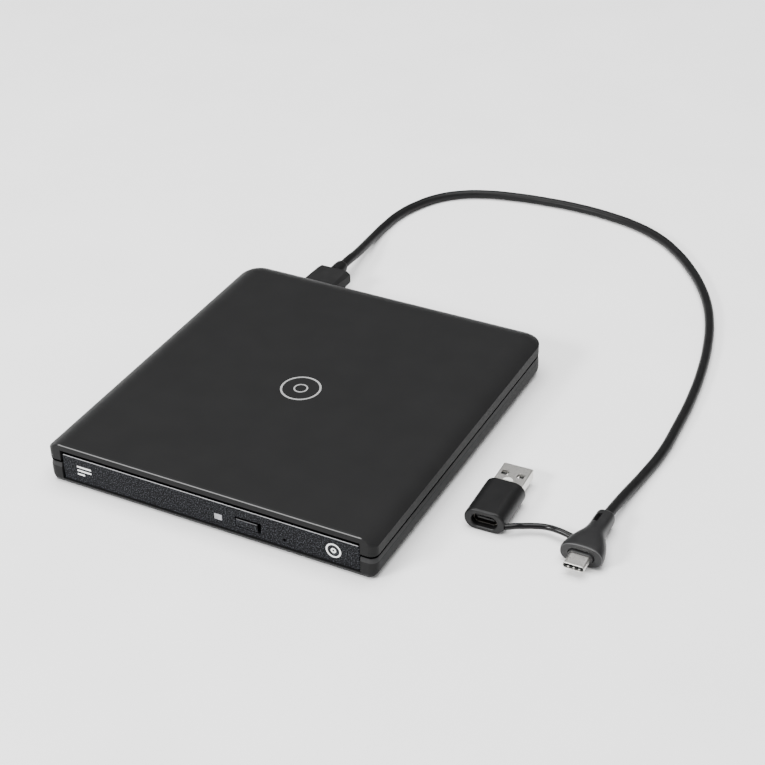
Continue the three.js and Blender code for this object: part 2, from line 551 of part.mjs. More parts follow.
function buildTray() {
  part('tray', trayBody(), 'trayBlack');
  part('tray_surround', traySurround(), 'trayBlack');
  part('bezel', bezelBody(), 'bezelBlack');
  const l = LED_WINDOW;
  const lens = block(
    l.x0 + 0.15, l.x1 - 0.15, BEZEL.front + 0.05, TRAY.front + 1, l.z0 + 0.15, l.z1 - 0.15,
  );
  part('led_lens', lens, 'lightGrey');
  part('eject_button', ejectButton(), 'bezelBlack');
  const k = SWITCH;
  const switchFront = TRAY.front + 2.3;
  part('button_switch', block(k.x0, k.x1, switchFront, switchFront + k.depth, k.z0, k.z1), 'chip');
  const b = TRAY_BOARD;
  part('tray_board', block(b.x0, b.x1, b.y0, b.y1, b.low, b.high), 'board');
  const m = SOLENOID;
  part('latch_solenoid', block(m.x0, m.x1, m.y0, m.y1, m.low, m.high), 'steel');
  const a = LATCH_ARM;
  const lever = join(
    postZ(LATCH.pivotX, LATCH.pivotY, a.low, a.high, LATCH.r + 0.8, 18),
    block(a.tip, LATCH.pivotX, a.y0, a.y1, a.low, a.high),
    block(a.tip, a.hookX, a.y0 + 0.2, a.hookEnd, a.low, a.high),
  );
  const pivotBore = postZ(LATCH.pivotX, LATCH.pivotY, 4, 8, LATCH.r - 0.5, 14);
  part('latch_lever', cut(lever, pivotBore), 'acetal');
  part('latch_pin', postZ(LATCH.pivotX, LATCH.pivotY, 4.6, 8.6, LATCH.r - 0.9, 12), 'steel');
  const plunger = join(
    rodY(EJECTOR.x, EJECTOR.z, EJECTOR.y0, EJECTOR.y1, EJECTOR.r),
    rodY(EJECTOR.x, EJECTOR.z, EJECTOR.y1 - 3, EJECTOR.y1, EJECTOR.headR),
  );
  part('ejector_plunger', plunger, 'acetal');
  part('ejector_spring', ejectorSpring(), 'steel');
}

function ejectorSpring() {
  const { turns, r, wire, y0, length } = SPRING;
  const perTurn = 8;
  const points = [];
  for (let i = 0; i <= turns * perTurn; i += 1) {
    const angle = (i / perTurn) * 2 * Math.PI;
    const y = y0 + (i / (turns * perTurn)) * length;
    points.push([EJECTOR.x + r * Math.cos(angle), y, EJECTOR.z + r * Math.sin(angle)]);
  }
  return sweep(points, wire, wire, 4, turns * 9);
}

// ---------------------------------------------------------------- traverse, turned under the disc
const traverse = new THREE.Group();
traverse.position.set(0, TRAY.discY, 0);
traverse.rotation.z = TRAVERSE_TURN;
assembly.add(traverse);

function traverseFrame() {
  const t = TRAVERSE;
  const outer = plate(roundedOutline(t.x0, t.x1, t.y0, t.y1, 2.5), t.low, t.high, 3);
  const sledRoom = block(-17.2, ROD.x + 1.8, t.y0 + 1.2, -13.5, t.low - 1, t.high + 1);
  const motorRoom = postZ(0, 0, t.low - 1, t.high + 1, MOTOR.baseR + 0.5, 32);
  const stepperRoom = block(-17.9, -11.9, -14.0, -6.0, t.low - 1, t.high + 1);
  const rodHoles = [-1, 1].map((s) => rodY(s * ROD.x, ROD.z, t.y0 - 1, ROD.y1 + 0.5, ROD.r + 0.2));
  return cut(outer, sledRoom, motorRoom, stepperRoom, ...rodHoles);
}

function traverseCover() {
  const round = postZ(0, 0, 8.9, 9.2, 18.4, 40);
  const strip = block(-13.2, 13.2, -63.0, 0, 8.9, 9.2);
  const lensSlot = block(-6.6, 6.6, -61.8, -18.2, 8, 10);
  return cut(join(round, strip), postZ(0, 0, 8, 10, MOTOR.flangeR + 0.6, 40), lensSlot);
}

function turntable() {
  const m = MOTOR;
  const low = m.baseHigh + 0.3;
  return turned([
    [0, low], [m.canR, low], [m.canR, m.canHigh], [m.flangeR, m.canHigh], [m.flangeR, m.top], [0, m.top],
  ], 36);
}

function discHub() {
  const cone = turned([
    [0, HUB.low], [HUB.r, HUB.low], [HUB.r, 11.6], [HUB.r - 0.5, 12.1],
    [HUB.r - 1.9, HUB.high], [0, HUB.high],
  ], 36);
  const slots = [];
  const catches = [];
  for (let i = 0; i < 3; i += 1) {
    const turn = (i * 2 * Math.PI) / 3;
    slots.push(block(-1.6, 1.6, 3.4, 9, 10.9, 13).rotateZ(turn));
    catches.push(block(-1.2, 1.2, 3.0, HUB.r + 0.35, 10.7, 12.0).rotateZ(turn));
  }
  return join(cut(cone, ...slots), ...catches);
}

function pickupSled() {
  const y0 = -SLED.inner - SLED.halfLength;
  const y1 = -SLED.inner + SLED.halfLength;
  const body = plate(
    roundedOutline(-SLED.halfWidth, SLED.halfWidth, y0, y1, 1.2), SLED.low, SLED.high, 2,
  );
  const arm = block(-16.8, -SLED.halfWidth + 0.5, y1 - 4, y1 - 1, SLED.low, LEAD.z - LEAD.r - 0.3);
  const tower = block(-5.2, 5.2, -SLED.inner - 4.6, -SLED.inner + 4.6, SLED.high - 0.2, 8.6);
  const bores = [-1, 1].map((s) => rodY(s * ROD.x, ROD.z, y0 - 1, y1 + 1, ROD.r + 0.12));
  const lensRoom = postZ(0, -SLED.inner, 7.0, 10, 3.0, 20);
  return cut(join(body, arm, tower), ...bores, lensRoom);
}

function leadScrew() {
  const thread = rodY(LEAD.x, LEAD.z, LEAD.y0, LEAD.y1, LEAD.r, 12);
  const flutes = [];
  const turns = 6;
  for (let i = 0; i < turns; i += 1) {
    const y = LEAD.y0 + 6 + i * 6;
    const flute = block(-0.4, 0.4, -2.2, 2.2, LEAD.r - 0.15, LEAD.r + 0.4);
    flutes.push(flute.rotateZ(0.5).translate(LEAD.x, y, LEAD.z));
  }
  return cut(thread, ...flutes);
}

function buildTraverse() {
  part('traverse_frame', traverseFrame(), 'trayBlack', traverse);
  part('traverse_cover', traverseCover(), 'sheetSteel', traverse);
  part('spindle_motor', postZ(0, 0, MOTOR.baseLow, MOTOR.baseHigh, MOTOR.baseR, 32), 'steel', traverse);
  part('turntable', turntable(), 'aluminium', traverse);
  const pad = turned([[8.2, 9.95], [13.8, 9.95], [13.8, DISC_SEAT_Z], [8.2, DISC_SEAT_Z], [8.2, 9.95]], 36);
  part('turntable_pad', pad, 'rubber', traverse);
  part('disc_hub', discHub(), 'acetal', traverse);
  part('guide_rod_left', rodY(-ROD.x, ROD.z, ROD.y0, ROD.y1, ROD.r), 'steel', traverse);
  part('guide_rod_right', rodY(ROD.x, ROD.z, ROD.y0, ROD.y1, ROD.r), 'steel', traverse);
  part('pickup_sled', pickupSled(), 'aluminium', traverse);
  const lens = turned([[0, 7.3], [2.6, 7.3], [2.6, 8.9], [2.0, 9.2], [1.0, 9.35], [0, 9.4]], 20);
  part('objective_lens', lens.translate(0, -SLED.inner, 0), 'glass', traverse);
  part('lead_screw', leadScrew(), 'steel', traverse);
  part('sled_motor', rodY(LEAD.x, LEAD.z, -14.4, -6.6, 2.0, 18), 'steel', traverse);
}

// ---------------------------------------------------------------- USB lead
function ringXZ(x, z, y, halfWidth, halfHeight, power = 2.6, count = 20) {
  const points = [];
  for (let i = 0; i < count; i += 1) {
    const angle = (-2 * Math.PI * i) / count;
    const c = Math.cos(angle);
    const s = Math.sin(angle);
    points.push(new THREE.Vector3(
      x + halfWidth * Math.sign(c) * Math.abs(c) ** (2 / power), y,
      z + halfHeight * Math.sign(s) * Math.abs(s) ** (2 / power),
    ));
  }
  return points;
}

function rearPlugBody() {
  const { halfWidth: w, halfHeight: h, bevelX: bx, bevelZ: bz, front, back } = REAR_PLUG;
  const section = new THREE.Shape([
    new THREE.Vector2(bx - w, -h), new THREE.Vector2(w - bx, -h), new THREE.Vector2(w, bz - h),
    new THREE.Vector2(w, h - bz), new THREE.Vector2(w - bx, h), new THREE.Vector2(bx - w, h),
    new THREE.Vector2(-w, h - bz), new THREE.Vector2(-w, bz - h),
  ]);
  const body = new THREE.ExtrudeGeometry(section, { depth: back - front, bevelEnabled: false });
  return body.rotateX(Math.PI / 2).translate(PORT.x, back, PORT.z);
}

function rearPlugShell() {
  const hw = PORT.halfWidth - PORT.sheet - 0.25;
  const hh = PORT.halfHeight - PORT.sheet - 0.25;
  const outer = barY(PORT.x, PORT.z, hw, hh, 0.3, PORT.mouth - 6.0, REAR_PLUG.front - 0.1);
  const inner = barY(PORT.x, PORT.z, hw - 0.35, hh - 0.35, 0.15, PORT.mouth - 7, REAR_PLUG.front - 0.5);
  return cut(outer, inner);
}

function strainRelief() {
  const rings = [];
  const steps = 8;
  for (let i = 0; i <= steps; i += 1) {
    const along = i / steps;
    const r = RELIEF.r0 + (RELIEF.r1 - RELIEF.r0) * along;
    rings.push(ringXZ(PORT.x, PORT.z, RELIEF.start + (RELIEF.end - RELIEF.start) * along, r, r, 2, 14));
  }
  return loft(rings);
}

// Ring of a bar with fully rounded ends, `inset` inside its half width and height.
function stadiumXZ(x, z, y, halfWidth, halfHeight, inset = 0, steps = 6) {
  const r = halfHeight - inset;
  const flat = halfWidth - halfHeight;
  const points = [];
  for (const side of [1, -1]) {
    for (let i = 0; i <= steps; i += 1) {
      const angle = side * Math.PI / 2 - (Math.PI * i) / steps;
      points.push(new THREE.Vector3(x + side * flat + r * Math.cos(angle), y, z + r * Math.sin(angle)));
    }
  }
  return points;
}

function typeCOvermould() {
  const { x, axisZ: z, face, neck } = TYPE_C;
  const rings = [
    ringXZ(x, z, face, 7.6, 4.1, 2.5), ringXZ(x, z, face + 0.9, 8.25, 4.6, 2.5),
    ringXZ(x, z, face + 4, 7.9, 4.6, 2.5), ringXZ(x, z, face + 7.2, 6.9, 4.6, 2.4),
    ringXZ(x, z, face + 10.4, 5.5, 4.4, 2.3), ringXZ(x, z, face + 13.4, 4.3, 4.05, 2.3),
    ringXZ(x, z, face + 16, 3.7, 3.65, 2.4), ringXZ(x, z, face + 19, 3.6, 3.4, 2.6),
    ringXZ(x, z, neck - 0.8, 3.5, 3.2, 2.6), ringXZ(x, z, neck, 3.0, 2.8, 2.4),
  ];
  const boss = loft([
    stadiumXZ(x, z, C_BOSS.front, C_BOSS.halfWidth, C_BOSS.halfHeight, 0.25),
    stadiumXZ(x, z, C_BOSS.front + 0.25, C_BOSS.halfWidth, C_BOSS.halfHeight),
    stadiumXZ(x, z, face + 1, C_BOSS.halfWidth, C_BOSS.halfHeight),
  ]);
  const hw = C_SHELL.halfWidth + C_BOSS.bore;
  const hh = C_SHELL.halfHeight + C_BOSS.bore;
  const bore = barY(x, z, hw, hh, hh - 0.02, C_BOSS.front - 1, C_BOSS.boreEnd, 5);
  return cut(join(loft(rings), boss), bore);
}

// Plug shell closed at its root, with the contact tongue standing in it.
function typeCShell() {
  const { halfWidth: hw, halfHeight: hh, sheet, tip, root } = C_SHELL;
  const { x, axisZ: z } = TYPE_C;
  const outer = barY(x, z, hw, hh, hh - 0.02, tip, root, 5);
  const inner = barY(x, z, hw - sheet, hh - sheet, hh - sheet - 0.02, tip - 1, root - 0.5, 5);
  const t = C_TONGUE;
  const frame = barY(x, z, t.halfWidth, t.halfHeight, 0.2, t.tip, root - 0.2, 2);
  return join(cut(outer, inner), frame);
}

function adapterBody() {
  const { x, axisZ: z, front, rear, halfWidth: w, halfHeight: h, edge } = ADAPTER;
  const body = loft([
    stadiumXZ(x, z, front, w, h, edge), stadiumXZ(x, z, front + edge, w, h),
    stadiumXZ(x, z, rear - edge, w, h), stadiumXZ(x, z, rear, w, h, edge),
  ]);
  const { halfWidth: hw, halfHeight: hh, depth } = SOCKET;
  const pocket = barY(x, z, hw, hh, hh - 0.05, front - 1, front + depth, 5);
  return cut(body, pocket);
}

function adapterSocket() {
  const { x, axisZ: z, front } = ADAPTER;
  const { halfWidth, halfHeight, depth, lip, wall, ring } = SOCKET;
  const hw = halfWidth - 0.15;
  const hh = halfHeight - 0.15;
  const back = front + depth - 0.2;
  const outer = barY(x, z, hw, hh, hh - 0.02, front + lip, back, 5);
  const inner = barY(x, z, ring + 2.9 - wall, ring, ring - 0.03, front, back - 0.8, 5);
  const tongue = block(x - 3.3, x + 3.3, front + lip + 0.7, back - 0.5, z - 0.35, z + 0.35);
  return join(cut(outer, inner), tongue);
}

function usbAShell() {
  const { halfWidth: hw, halfHeight: hh, sheet, root, tip, holeX, holeHalf } = USB_A;
  const { x, axisZ: z } = ADAPTER;
  const outer = barY(x, z, hw, hh, 0.55, root, tip, 3);
  const inner = barY(x, z, hw - sheet, hh - sheet, 0.3, root + 0.5, tip + 1, 3);
  const holes = [-1, 1].map((s) => {
    const centre = x + s * holeX;
    return block(centre - holeHalf, centre + holeHalf, tip - 7.0, tip - 4.8, z - 3, z + 3);
  });
  return cut(outer, inner, ...holes);
}

function buildAdapter() {
  const turned = new THREE.Group();
  turned.position.set(ADAPTER.x, ADAPTER.turnY, 0);
  turned.rotation.z = ADAPTER.turn;
  assembly.add(turned);
  const place = (name, geometry, finish) => {
    part(name, geometry.translate(-ADAPTER.x, -ADAPTER.turnY, 0), finish, turned);
  };
  place('adapter_body', adapterBody(), 'caseBlack');
  place('adapter_socket', adapterSocket(), 'chip');
  place('usb_a_shell', usbAShell(), 'nickel');
  const { x, axisZ: z } = ADAPTER;
  const tongue = block(x - 5.5, x + 5.5, USB_A.root + 0.8, USB_A.tip - 0.5, z - 1.85, z - 0.05);
  place('usb_a_tongue', tongue, 'insulator');
}

function buildLead() {
  part('rear_plug', rearPlugBody(), 'caseBlack');
  part('rear_plug_shell', rearPlugShell(), 'nickel');
  part('strain_relief', strainRelief(), 'rubber');
  part('usb_cord', sweep(CORD_ROUTE, CORD_R, CORD_R, 8, 72), 'rubber');
  part('type_c_overmould', typeCOvermould(), 'rubber');
  part('type_c_shell', typeCShell(), 'nickel');
  part('tether_strap', sweep(TETHER_ROUTE, TETHER_R, TETHER_R, 8, 12), 'rubber');
}

buildCase();
buildMechanism();
buildBridgeBoard();
buildTray();
buildTraverse();
buildLead();
buildAdapter();

export default assembly;
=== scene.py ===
"""External optical drive on a pale floor, in metres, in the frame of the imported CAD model."""

import math

import bmesh
import bpy
from mathutils import Matrix, Vector


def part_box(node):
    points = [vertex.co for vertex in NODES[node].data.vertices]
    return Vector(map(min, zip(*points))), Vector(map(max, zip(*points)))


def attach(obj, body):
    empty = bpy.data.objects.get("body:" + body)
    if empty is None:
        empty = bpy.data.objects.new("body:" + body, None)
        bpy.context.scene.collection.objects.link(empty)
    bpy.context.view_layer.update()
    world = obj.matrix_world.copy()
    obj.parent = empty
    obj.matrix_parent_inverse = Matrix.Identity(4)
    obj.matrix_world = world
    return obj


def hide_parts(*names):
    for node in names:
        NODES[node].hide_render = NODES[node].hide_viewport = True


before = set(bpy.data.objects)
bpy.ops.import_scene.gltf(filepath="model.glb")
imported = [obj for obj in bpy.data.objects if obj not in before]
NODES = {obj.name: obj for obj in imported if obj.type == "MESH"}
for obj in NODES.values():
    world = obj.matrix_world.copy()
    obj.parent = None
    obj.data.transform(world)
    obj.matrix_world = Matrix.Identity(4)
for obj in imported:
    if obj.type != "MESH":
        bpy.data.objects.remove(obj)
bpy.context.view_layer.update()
scene = bpy.context.scene
MM = 0.001

# ---------------------------------------------------------------- camera
VIEW_TURN, VIEW_TILT, VIEW_ROLL = (math.radians(angle) for angle in (28.19, 33.93, -1.59))
VIEW_TARGET = Vector((21.4, 24.4, 10.0)) * MM
VIEW_DISTANCE = 0.715
FOCAL_LENGTH, SENSOR_WIDTH = 83.26, 36


def make_camera():
    """Camera in front of the drive, to its right and above it."""
    back = Vector((
        math.sin(VIEW_TURN) * math.cos(VIEW_TILT),
        -math.cos(VIEW_TURN) * math.cos(VIEW_TILT),
        math.sin(VIEW_TILT),
    ))
    level = Vector((0, 0, 1)).cross(back).normalized()
    upright = back.cross(level)
    right = math.cos(VIEW_ROLL) * level + math.sin(VIEW_ROLL) * upright
    up = math.cos(VIEW_ROLL) * upright - math.sin(VIEW_ROLL) * level
    data = bpy.data.cameras.new("camera")
    data.lens = FOCAL_LENGTH
    data.sensor_width = SENSOR_WIDTH
    data.clip_start = 0.01
    camera = bpy.data.objects.new("camera", data)
    scene.collection.objects.link(camera)
    place = Matrix((right, up, back)).transposed().to_4x4()
    place.translation = VIEW_TARGET + back * VIEW_DISTANCE
    camera.matrix_world = place
    scene.camera = camera


make_camera()


# ---------------------------------------------------------------- places in the frame, in millimetres
def corners(node):
    """Lowest and highest corner of a CAD node."""
    lo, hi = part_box(node)
    return Vector(lo) / MM, Vector(hi) / MM


def middle(node):
    """Centre of a CAD node's box."""
    lo, hi = corners(node)
    return (lo + hi) / 2


def clean(corner):
    """A corner's coordinates without the mesh's rounding."""
    return [round(value, 2) for value in corner]


# the case's outside, the height where its shells meet, and the tray's opening in its front wall
HALF_WIDTH, REAR, TOP = clean(corners("top_cover")[1])
FRONT, BASE = clean(corners("bottom_cover")[0])[1:]
SEAM = 9.9
MOUTH_HALF, MOUTH_LOW, MOUTH_HIGH = 64.5, 2.3, 15.6
# the bezel ends just under its CAD node's top
BEZEL_FACE = corners("bezel")[0].y
BEZEL_TOP = corners("bezel")[1].z - 0.3
BUTTON_FACE = corners("eject_button")[0].y
BUTTON_HEIGHT = middle("eject_button").z
# across the light's window, where its darker part ends and its lighter part begins
LIGHT_SPLIT = (4.5, 5.0)
# the flare's face, which the type-C connector's boss stands proud of
FLARE_FACE = corners("type_c_overmould")[0].y + 1.0


# ---------------------------------------------------------------- procedural materials
class Nodes:
    """A material's node tree with short calls to add to it."""

    def __init__(self, name):
        self.material = bpy.data.materials.new(name)
        self.material.use_nodes = True
        self.tree = self.material.node_tree
        self.shader = self.tree.nodes["Principled BSDF"]
        self.where = self.add("ShaderNodeTexCoord").outputs["Object"]

    def add(self, kind, **values):
        node = self.tree.nodes.new(kind)
        for key, value in values.items():
            setattr(node, key, value)
        return node

    def link(self, a, b):
        self.tree.links.new(a, b)

    def stretched(self, scale):
        mapping = self.add("ShaderNodeMapping")
        mapping.inputs["Scale"].default_value = scale
        self.link(self.where, mapping.inputs["Vector"])
        return mapping.outputs["Vector"]

    def noise(self, size, detail=2.0, rough=0.5, stretch=(1, 1, 1)):
        """Noise whose blobs are about `size` millimetres."""
        node = self.add("ShaderNodeTexNoise")
        node.inputs["Scale"].default_value = 1.0 / (size * MM)
        node.inputs["Detail"].default_value = detail
        node.inputs["Roughness"].default_value = rough
        self.link(self.stretched(stretch), node.inputs["Vector"])
        return node.outputs["Fac"]

    def remap(self, value, low, high, start=0.3, end=0.7):
        """Maps start..end, by default the middle of a noise, on to low..high."""
        node = self.add("ShaderNodeMapRange")
        node.inputs["From Min"].default_value = start
        node.inputs["From Max"].default_value = end
        node.inputs["To Min"].default_value = low
        node.inputs["To Max"].default_value = high
        self.link(value, node.inputs["Value"])
        return node.outputs["Result"]

    def ramp(self, value, dark, light, start=0.35, end=0.65):
        """A colour between dark and light as the value goes from start to end."""
        node = self.add("ShaderNodeValToRGB")
        node.color_ramp.elements[0].position = start
        node.color_ramp.elements[1].position = end
        node.color_ramp.elements[0].color = (*dark, 1)
        node.color_ramp.elements[1].color = (*light, 1)
        self.link(value, node.inputs["Fac"])
        return node.outputs["Color"]

    def mix(self, fac, a, b):
        """Colour a, turning to b as fac rises; inputs 0, 6 and 7 are the node's factor and two colours."""
        node = self.add("ShaderNodeMix", data_type="RGBA")
        for value, socket in ((fac, node.inputs[0]), (a, node.inputs[6]), (b, node.inputs[7])):
            if isinstance(value, bpy.types.NodeSocket):
                self.link(value, socket)
            else:
                socket.default_value = value
        return node.outputs[2]

    def paint_band(self, shade, colour, **bands):
        """Mixes a colour in where every band is reached; the bands are painted highlights and painted shade.

        A band is (start, full) in millimetres, on the axis that its keyword starts with.
        """
        axes = self.add("ShaderNodeSeparateXYZ")
        self.link(self.where, axes.inputs["Vector"])
        mask = None
        for name, (start, full) in bands.items():
            step = self.remap(axes.outputs[name[0].upper()], 0.0, 1.0, start * MM, full * MM)
            if mask is not None:
                both = self.add("ShaderNodeMath", operation="MULTIPLY")
                self.link(mask, both.inputs[0])
                self.link(step, both.inputs[1])
                step = both.outputs[0]
            mask = step
        return self.mix(mask, shade, (*colour, 1))

    def bump(self, height, depth, before=None):
        node = self.add("ShaderNodeBump")
        node.inputs["Distance"].default_value = depth * MM
        self.link(height, node.inputs["Height"])
        if before is not None:
            self.link(before, node.inputs["Normal"])
        return node.outputs["Normal"]

    def finish(self, colour=None, roughness=None, normal=None, **fixed):
        if colour is not None:
            self.link(colour, self.shader.inputs["Base Color"])
        if roughness is not None:
            self.link(roughness, self.shader.inputs["Roughness"])
        if normal is not None:
            self.link(normal, self.shader.inputs["Normal"])
        for name, value in fixed.items():
            self.shader.inputs[name.replace("_", " ")].default_value = value
        return self.material


def moulded(name, dark, light, rough, grain, depth, specular=0.4, cloud=14.0, edges=()):
    """Moulded plastic: a fine grain over slow changes in tone, with painted highlights and painted shade in
    the bands of edges.
    """
    n = Nodes(name)
    fine = n.noise(grain, detail=3.0, rough=0.6)
    slow = n.noise(cloud, detail=2.0)
    shade = n.ramp(slow, dark, light, 0.3, 0.7)
    for colour, bands in edges:
        shade = n.paint_band(shade, colour, **bands)
    roughness = n.remap(fine, rough - 0.05, rough + 0.05)
    return n.finish(shade, roughness, n.bump(fine, depth), Specular_IOR_Level=specular)


def grained(name, dark, speck, rough, grain, depth, edges=(), specular=0.4):
    """Coarse spark-eroded grain with bright high points, with painted highlights and painted shade in the
    bands of edges.
    """
    n = Nodes(name)
    coarse = n.noise(grain, detail=1.5, rough=0.55)
    fine = n.noise(grain * 0.35, detail=2.0)
    shade = n.ramp(coarse, dark, speck, 0.5, 0.72)
    for colour, bands in edges:
        shade = n.paint_band(shade, colour, **bands)
    roughness = n.remap(fine, rough - 0.07, rough + 0.07)
    normal = n.bump(fine, depth * 0.4, n.bump(coarse, depth))
    return n.finish(shade, roughness, normal, Specular_IOR_Level=specular)


def sheet_metal(name, dark, light, rough, stretch, grain=0.25, depth=0.0015):
    """Rolled or drawn metal with fine streaks along one direction."""
    n = Nodes(name)
    streak = n.noise(grain, detail=4.0, rough=0.6, stretch=stretch)
    slow = n.noise(9.0, detail=2.0)
    shade = n.ramp(slow, dark, light, 0.3, 0.7)
    roughness = n.remap(streak, rough - 0.08, rough + 0.1)
    return n.finish(shade, roughness, n.bump(streak, depth), Metallic=1.0)


def circuit_board(name):
    """Solder mask with darker gaps between copper areas, and plated dots."""
    n = Nodes(name)
    areas_a_metre, dots_a_metre = 260, 420
    cells = n.add("ShaderNodeTexVoronoi", feature="DISTANCE_TO_EDGE")
    cells.inputs["Scale"].default_value = areas_a_metre
    n.link(n.where, cells.inputs["Vector"])
    mask = n.ramp(cells.outputs["Distance"], (0.004, 0.05, 0.02), (0.012, 0.12, 0.05), 0.03, 0.09)
    dots = n.add("ShaderNodeTexVoronoi", feature="F1")
    dots.inputs["Scale"].default_value = dots_a_metre
    n.link(n.where, dots.inputs["Vector"])
    near = n.remap(dots.outputs["Distance"], 1.0, 0.0, 0.10, 0.16)
    colour = n.mix(near, mask, (0.62, 0.55, 0.4, 1))
    return n.finish(colour, n.remap(n.noise(0.6), 0.3, 0.5), n.bump(cells.outputs["Distance"], 0.03))


def optics(name):
    """Coated lens: a deep blue-violet sheen over clear plastic."""
    n = Nodes(name)
    shade = n.ramp(n.noise(1.6), (0.05, 0.08, 0.35), (0.16, 0.2, 0.5), 0.3, 0.7)
    return n.finish(shade, n.remap(n.noise(0.8), 0.03, 0.07), Transmission_Weight=0.35, IOR=1.5,
                    Coat_Weight=0.6)


def light_pipe(name):
    """Milky window whose end nearer the centre of the drive is the darker one."""
    n = Nodes(name)
    across = n.add("ShaderNodeSeparateXYZ")
    n.link(n.where, across.inputs["Vector"])
    side = n.remap(across.outputs["X"], 0.0, 1.0, *(x * MM for x in LIGHT_SPLIT))
    clear = n.ramp(n.noise(0.7), (0.26, 0.26, 0.28), (0.36, 0.36, 0.38))
    shade = n.ramp(n.noise(0.9), (0.2, 0.2, 0.21), (0.28, 0.28, 0.29))
    return n.finish(n.mix(side, shade, clear), n.remap(n.noise(0.5), 0.25, 0.4), Specular_IOR_Level=0.5)


def grey(value, blue=0.0):
    """A grey with slightly more blue than red and green in it, or slightly less."""
    return value, value, value + blue


# where the moulded parts get painted highlights and painted shade: (start, full) on each axis
# painted highlight: pale line along the rounding of the roof's front edge
ROOF_EDGE_HIGHLIGHT = dict(y=(FRONT + 0.6, FRONT + 0.45), z_low=(TOP - 0.68, TOP - 0.55),
                 z_high=(TOP - 0.28, TOP - 0.4))
# painted highlight: lighter strip on the case's front below the tray's opening
UNDER_MOUTH_HIGHLIGHT = dict(y=(FRONT + 0.9, FRONT + 0.7), z=(MOUTH_LOW - 0.15, MOUTH_LOW - 0.3))
# painted highlight: lighter bevelled band under the seam
SEAM_BEVEL_HIGHLIGHT = dict(z_low=(SEAM - 2.4, SEAM - 2.2), z_high=(SEAM - 0.25, SEAM - 0.4))
# painted shade: black top of the bezel, in the gap under the case's front wall
BEZEL_TOP_SHADE = dict(z=(BEZEL_TOP - 0.2, BEZEL_TOP - 0.15))
# painted highlight: pale line along the bezel's top front edge
BEZEL_EDGE_HIGHLIGHT = dict(y=(BEZEL_FACE + 0.26, BEZEL_FACE + 0.2), z=(BEZEL_TOP - 0.3, BEZEL_TOP - 0.22))
# painted shade: near-black sides of the button behind its face, in the pocket
BUTTON_SIDES_SHADE = dict(y=(BUTTON_FACE + 0.17, BUTTON_FACE + 0.25))
BUTTON_FRONT = (BUTTON_FACE + 0.17, BUTTON_FACE + 0.11)
# painted highlights: pale lines along the button's upper and lower front edges
BUTTON_UPPER_HIGHLIGHT = dict(y=BUTTON_FRONT, z=(BUTTON_HEIGHT + 1.45, BUTTON_HEIGHT + 1.52))
BUTTON_LOWER_HIGHLIGHT = dict(y=BUTTON_FRONT, z=(BUTTON_HEIGHT - 1.45, BUTTON_HEIGHT - 1.52))
# painted highlight: lighter front face of the type-C overmould's flare
FLARE_FRONT_HIGHLIGHT = dict(y=(FLARE_FACE + 0.4, FLARE_FACE + 0.3))
# painted highlight: pale line round the flare's front rim
FLARE_RIM_HIGHLIGHT = dict(y_rear=(FLARE_FACE + 0.35, FLARE_FACE + 0.28),
                 y_front=(FLARE_FACE + 0.01, FLARE_FACE + 0.05))

CASE = moulded("case_plastic_mat", grey(0.0122, 0.0002), grey(0.0134, 0.0002), rough=0.44, grain=0.3,
               depth=0.008, specular=0.05,
               edges=[(grey(0.16), ROOF_EDGE_HIGHLIGHT), (grey(0.034, 0.0005), UNDER_MOUTH_HIGHLIGHT),
                      (grey(0.03, 0.0005), SEAM_BEVEL_HIGHLIGHT)])
BEZEL = grained("bezel_plastic_mat", (0.0012, 0.0013, 0.0018), (0.055, 0.058, 0.066), rough=0.5, grain=0.5,
                depth=0.08, specular=0.06, edges=[(grey(0.001), BEZEL_TOP_SHADE), (grey(0.42, 0.01), BEZEL_EDGE_HIGHLIGHT)])
BUTTON = grained("button_plastic_mat", (0.0012, 0.0013, 0.0018), (0.05, 0.053, 0.06), rough=0.5, grain=0.45,
                 depth=0.06, specular=0.06,
                 edges=[(grey(0.0008), BUTTON_SIDES_SHADE), (grey(0.13, 0.005), BUTTON_UPPER_HIGHLIGHT),
                        (grey(0.07, 0.002), BUTTON_LOWER_HIGHLIGHT)])
LED = light_pipe("led_window_mat")
FOOT = moulded("foot_rubber_mat", grey(0.012), grey(0.02), rough=0.85, grain=0.3, depth=0.02, specular=0.2,
               cloud=3.0)
JACKET = moulded("cable_rubber_mat", grey(0.0055, 0.0002), grey(0.0075, 0.0002), rough=0.42, grain=0.3,
                 depth=0.012, specular=0.13, cloud=5.0)
GRIP = moulded("plug_grip_mat", grey(0.013, 0.0002), grey(0.016, 0.0002), rough=0.48, grain=0.25,
               depth=0.01, specular=0.06, cloud=6.0)
STRAP = moulded("strap_rubber_mat", grey(0.0015, 0.0002), grey(0.0025, 0.0002), rough=0.2, grain=0.4,
                depth=0.003, specular=0.22, cloud=4.0)
OVERMOULD = moulded("overmould_mat", grey(0.0095, 0.0004), grey(0.0125, 0.0005), rough=0.42, grain=0.25,
                    depth=0.012, specular=0.25, cloud=4.0,
                    edges=[(grey(0.018, 0.0005), FLARE_FRONT_HIGHLIGHT), (grey(0.055, 0.001), FLARE_RIM_HIGHLIGHT)])
BOSS = moulded("boss_plastic_mat", grey(0.02, 0.0005), grey(0.028, 0.0005), rough=0.4, grain=0.25,
               depth=0.01, specular=0.25, cloud=3.0)
PLUG = moulded("plug_plastic_mat", grey(0.0045, 0.0002), grey(0.0062, 0.0002), rough=0.4, grain=0.25,
               depth=0.01, specular=0.22, cloud=6.0)
TRAY = moulded("tray_plastic_mat", grey(0.0115, 0.0005), grey(0.0145, 0.0005), rough=0.5, grain=0.25,
               depth=0.012, specular=0.22)
STEEL = sheet_metal("steel_mat", grey(0.5, 0.01), grey(0.6, 0.01), rough=0.28, stretch=(1, 1, 1))
